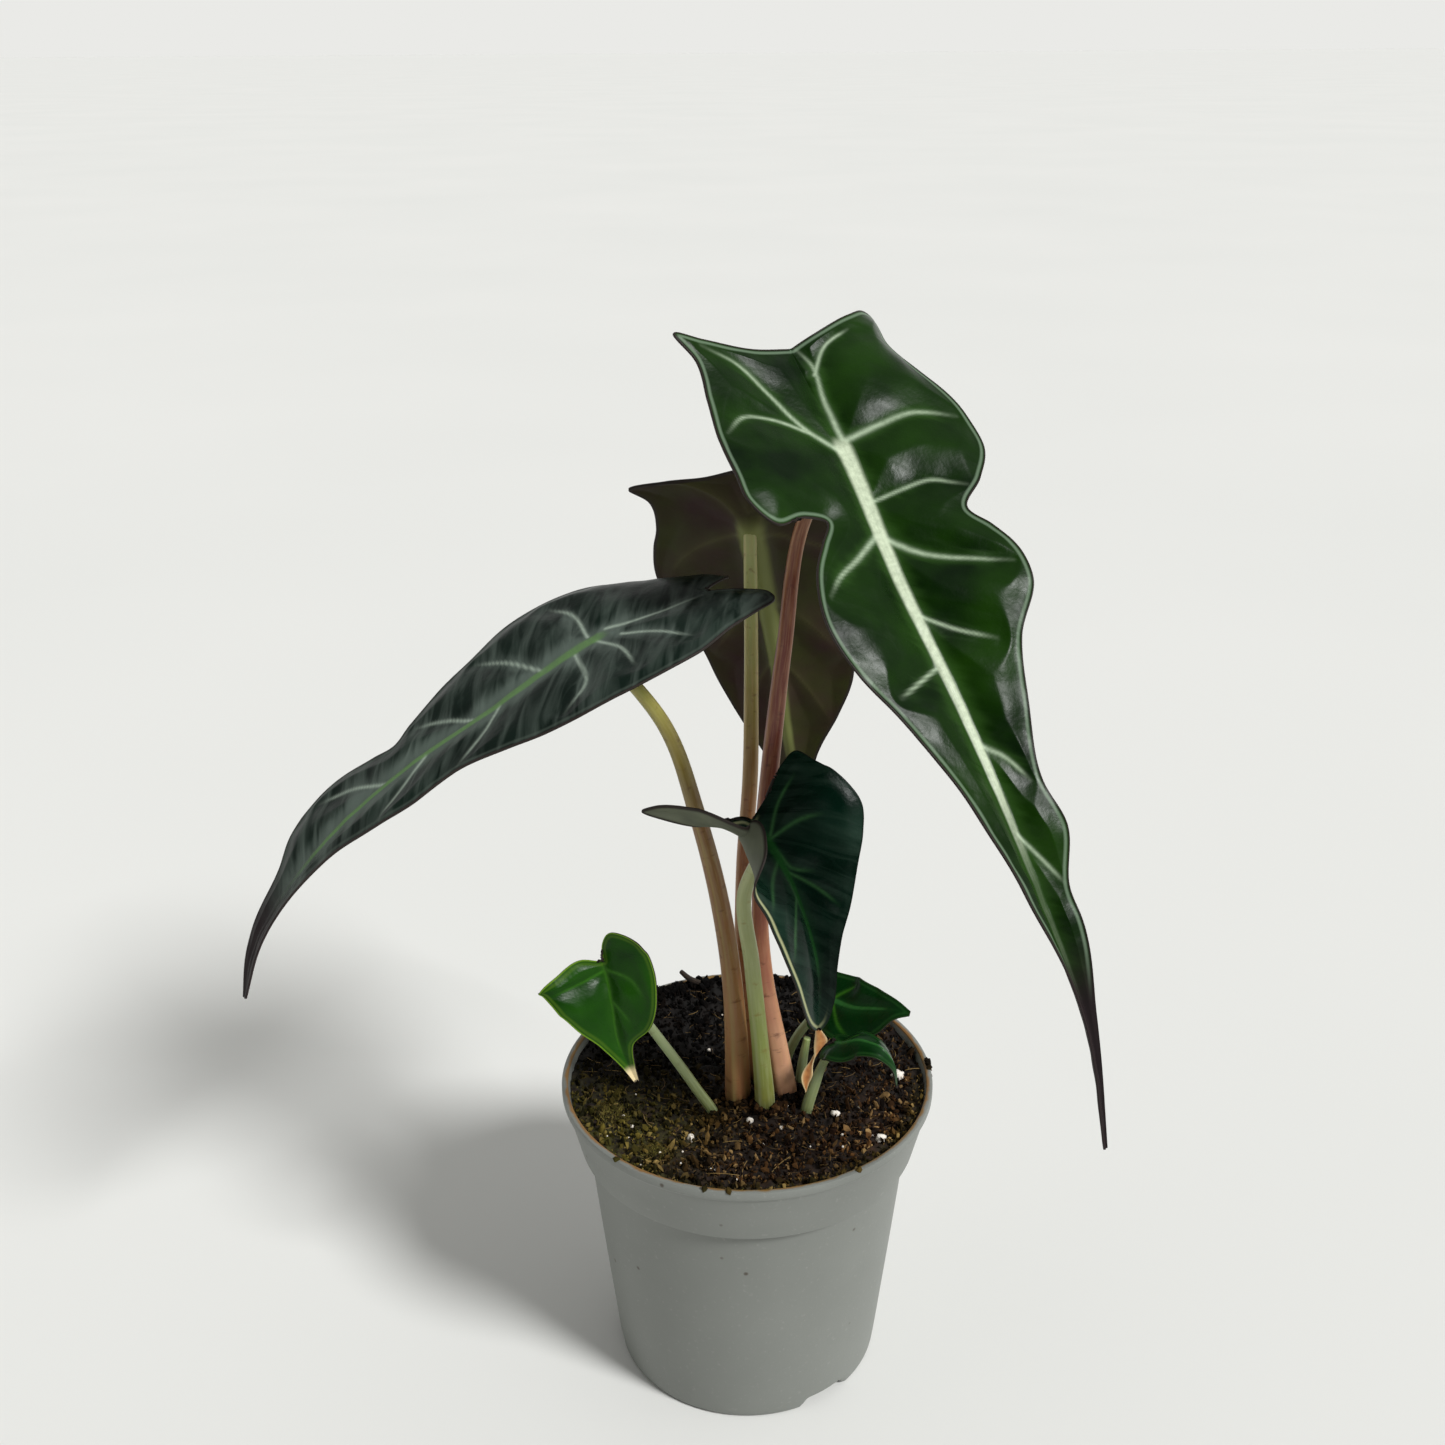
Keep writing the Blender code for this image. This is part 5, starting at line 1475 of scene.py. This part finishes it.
# Dried tip: the young blade's withered point, a twisted papery strip with a pale edge.
tip = np.array([10, -21.5, 25.5])
route = tip + np.array([(0, 0.1, -0.1), (0.5, 0.5, -3), (-0.6, 1, -6), (-1.6, 1, -9), (-1.6, 1.5, -12)])
along = lengths_along(route)
bpy.ops.mesh.primitive_grid_add(x_subdivisions=6, y_subdivisions=60, size=2)
strip = bpy.context.object
strip.name = "leaf_young_dried_strip"
at = np.linspace(0, along[-1], 61)
line = smooth_curve(along, route, at)
half_width = smooth_curve(along, [0.35, 1.0, 0.3, 0.85, 0.15], at)
twist = np.radians(smooth_curve(along, [0, 20, 110, 200, 250], at))
span = np.linspace(-1, 1, 7)
direction = np.stack([np.cos(twist), np.sin(twist), 0.2 * np.sin(twist)], 1)
bow = np.stack([-np.sin(twist), np.cos(twist), 0 * twist], 1)
place = line[:, None] + direction[:, None] * (half_width[:, None] * span)[..., None]
place = place + bow[:, None] * (0.35 * half_width[:, None] * (span**2))[..., None]
put_points(strip, place.reshape(-1, 3) + (0, 0, CROWN))
store(strip, "rim", np.broadcast_to(span**4, (61, 7)).ravel())
thick = strip.modifiers.new("thickness", "SOLIDIFY")
thick.thickness = 0.14 * MM
thick.offset = 0
bpy.ops.object.modifier_apply(modifier="thickness")
strip.data.shade_smooth()
withered, tree, shader = new_material("withered_leaf_orange_brown", 0.5, 1.45)
spot = place_of(tree)
coarse = cloudy(tree, spot, per(1.2), 4.0)
stops = [(0.3, "8A4E1E"), (0.6, "B87A3E"), (0.8, "C89A5C")]
tint = shades(tree, coarse, stops)
rim = read(tree, "rim")
tree.links.new(blend(tree, rim, tint, srgb("E0C896")), shader.inputs["Base Color"])
strip.data.materials.append(withered)
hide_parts("leaf_young_dried_tip")
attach(strip, "root")

# Twig: a dark bit of heather stem left in the peat, standing up at the back rim.
bark_black, tree, shader = new_material("dead_twig_bark", 0.85, 1.45)
surface = add(tree, "ShaderNodeUVMap", {"uv_map": "surface"}).outputs[0]
flake = cloudy(tree, surface, 180.0, 4.0)
stops = [(0.3, "120D09"), (0.7, "33271B")]
tree.links.new(shades(tree, flake, stops), shader.inputs["Base Color"])
roughen(tree, shader, 0.8, 0.2, flake)
route = [(-6.6, 26.6, 2.4), (-8, 26.4, 3.2), (-9.6, 26, 4.2), (-11.2, 25.6, 6)]
made = rolled("twig_stem", route, [0.4, 0.45, 0.5, 0.4], 0.1, (0, -1, 0), bark_black)
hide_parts("twig")
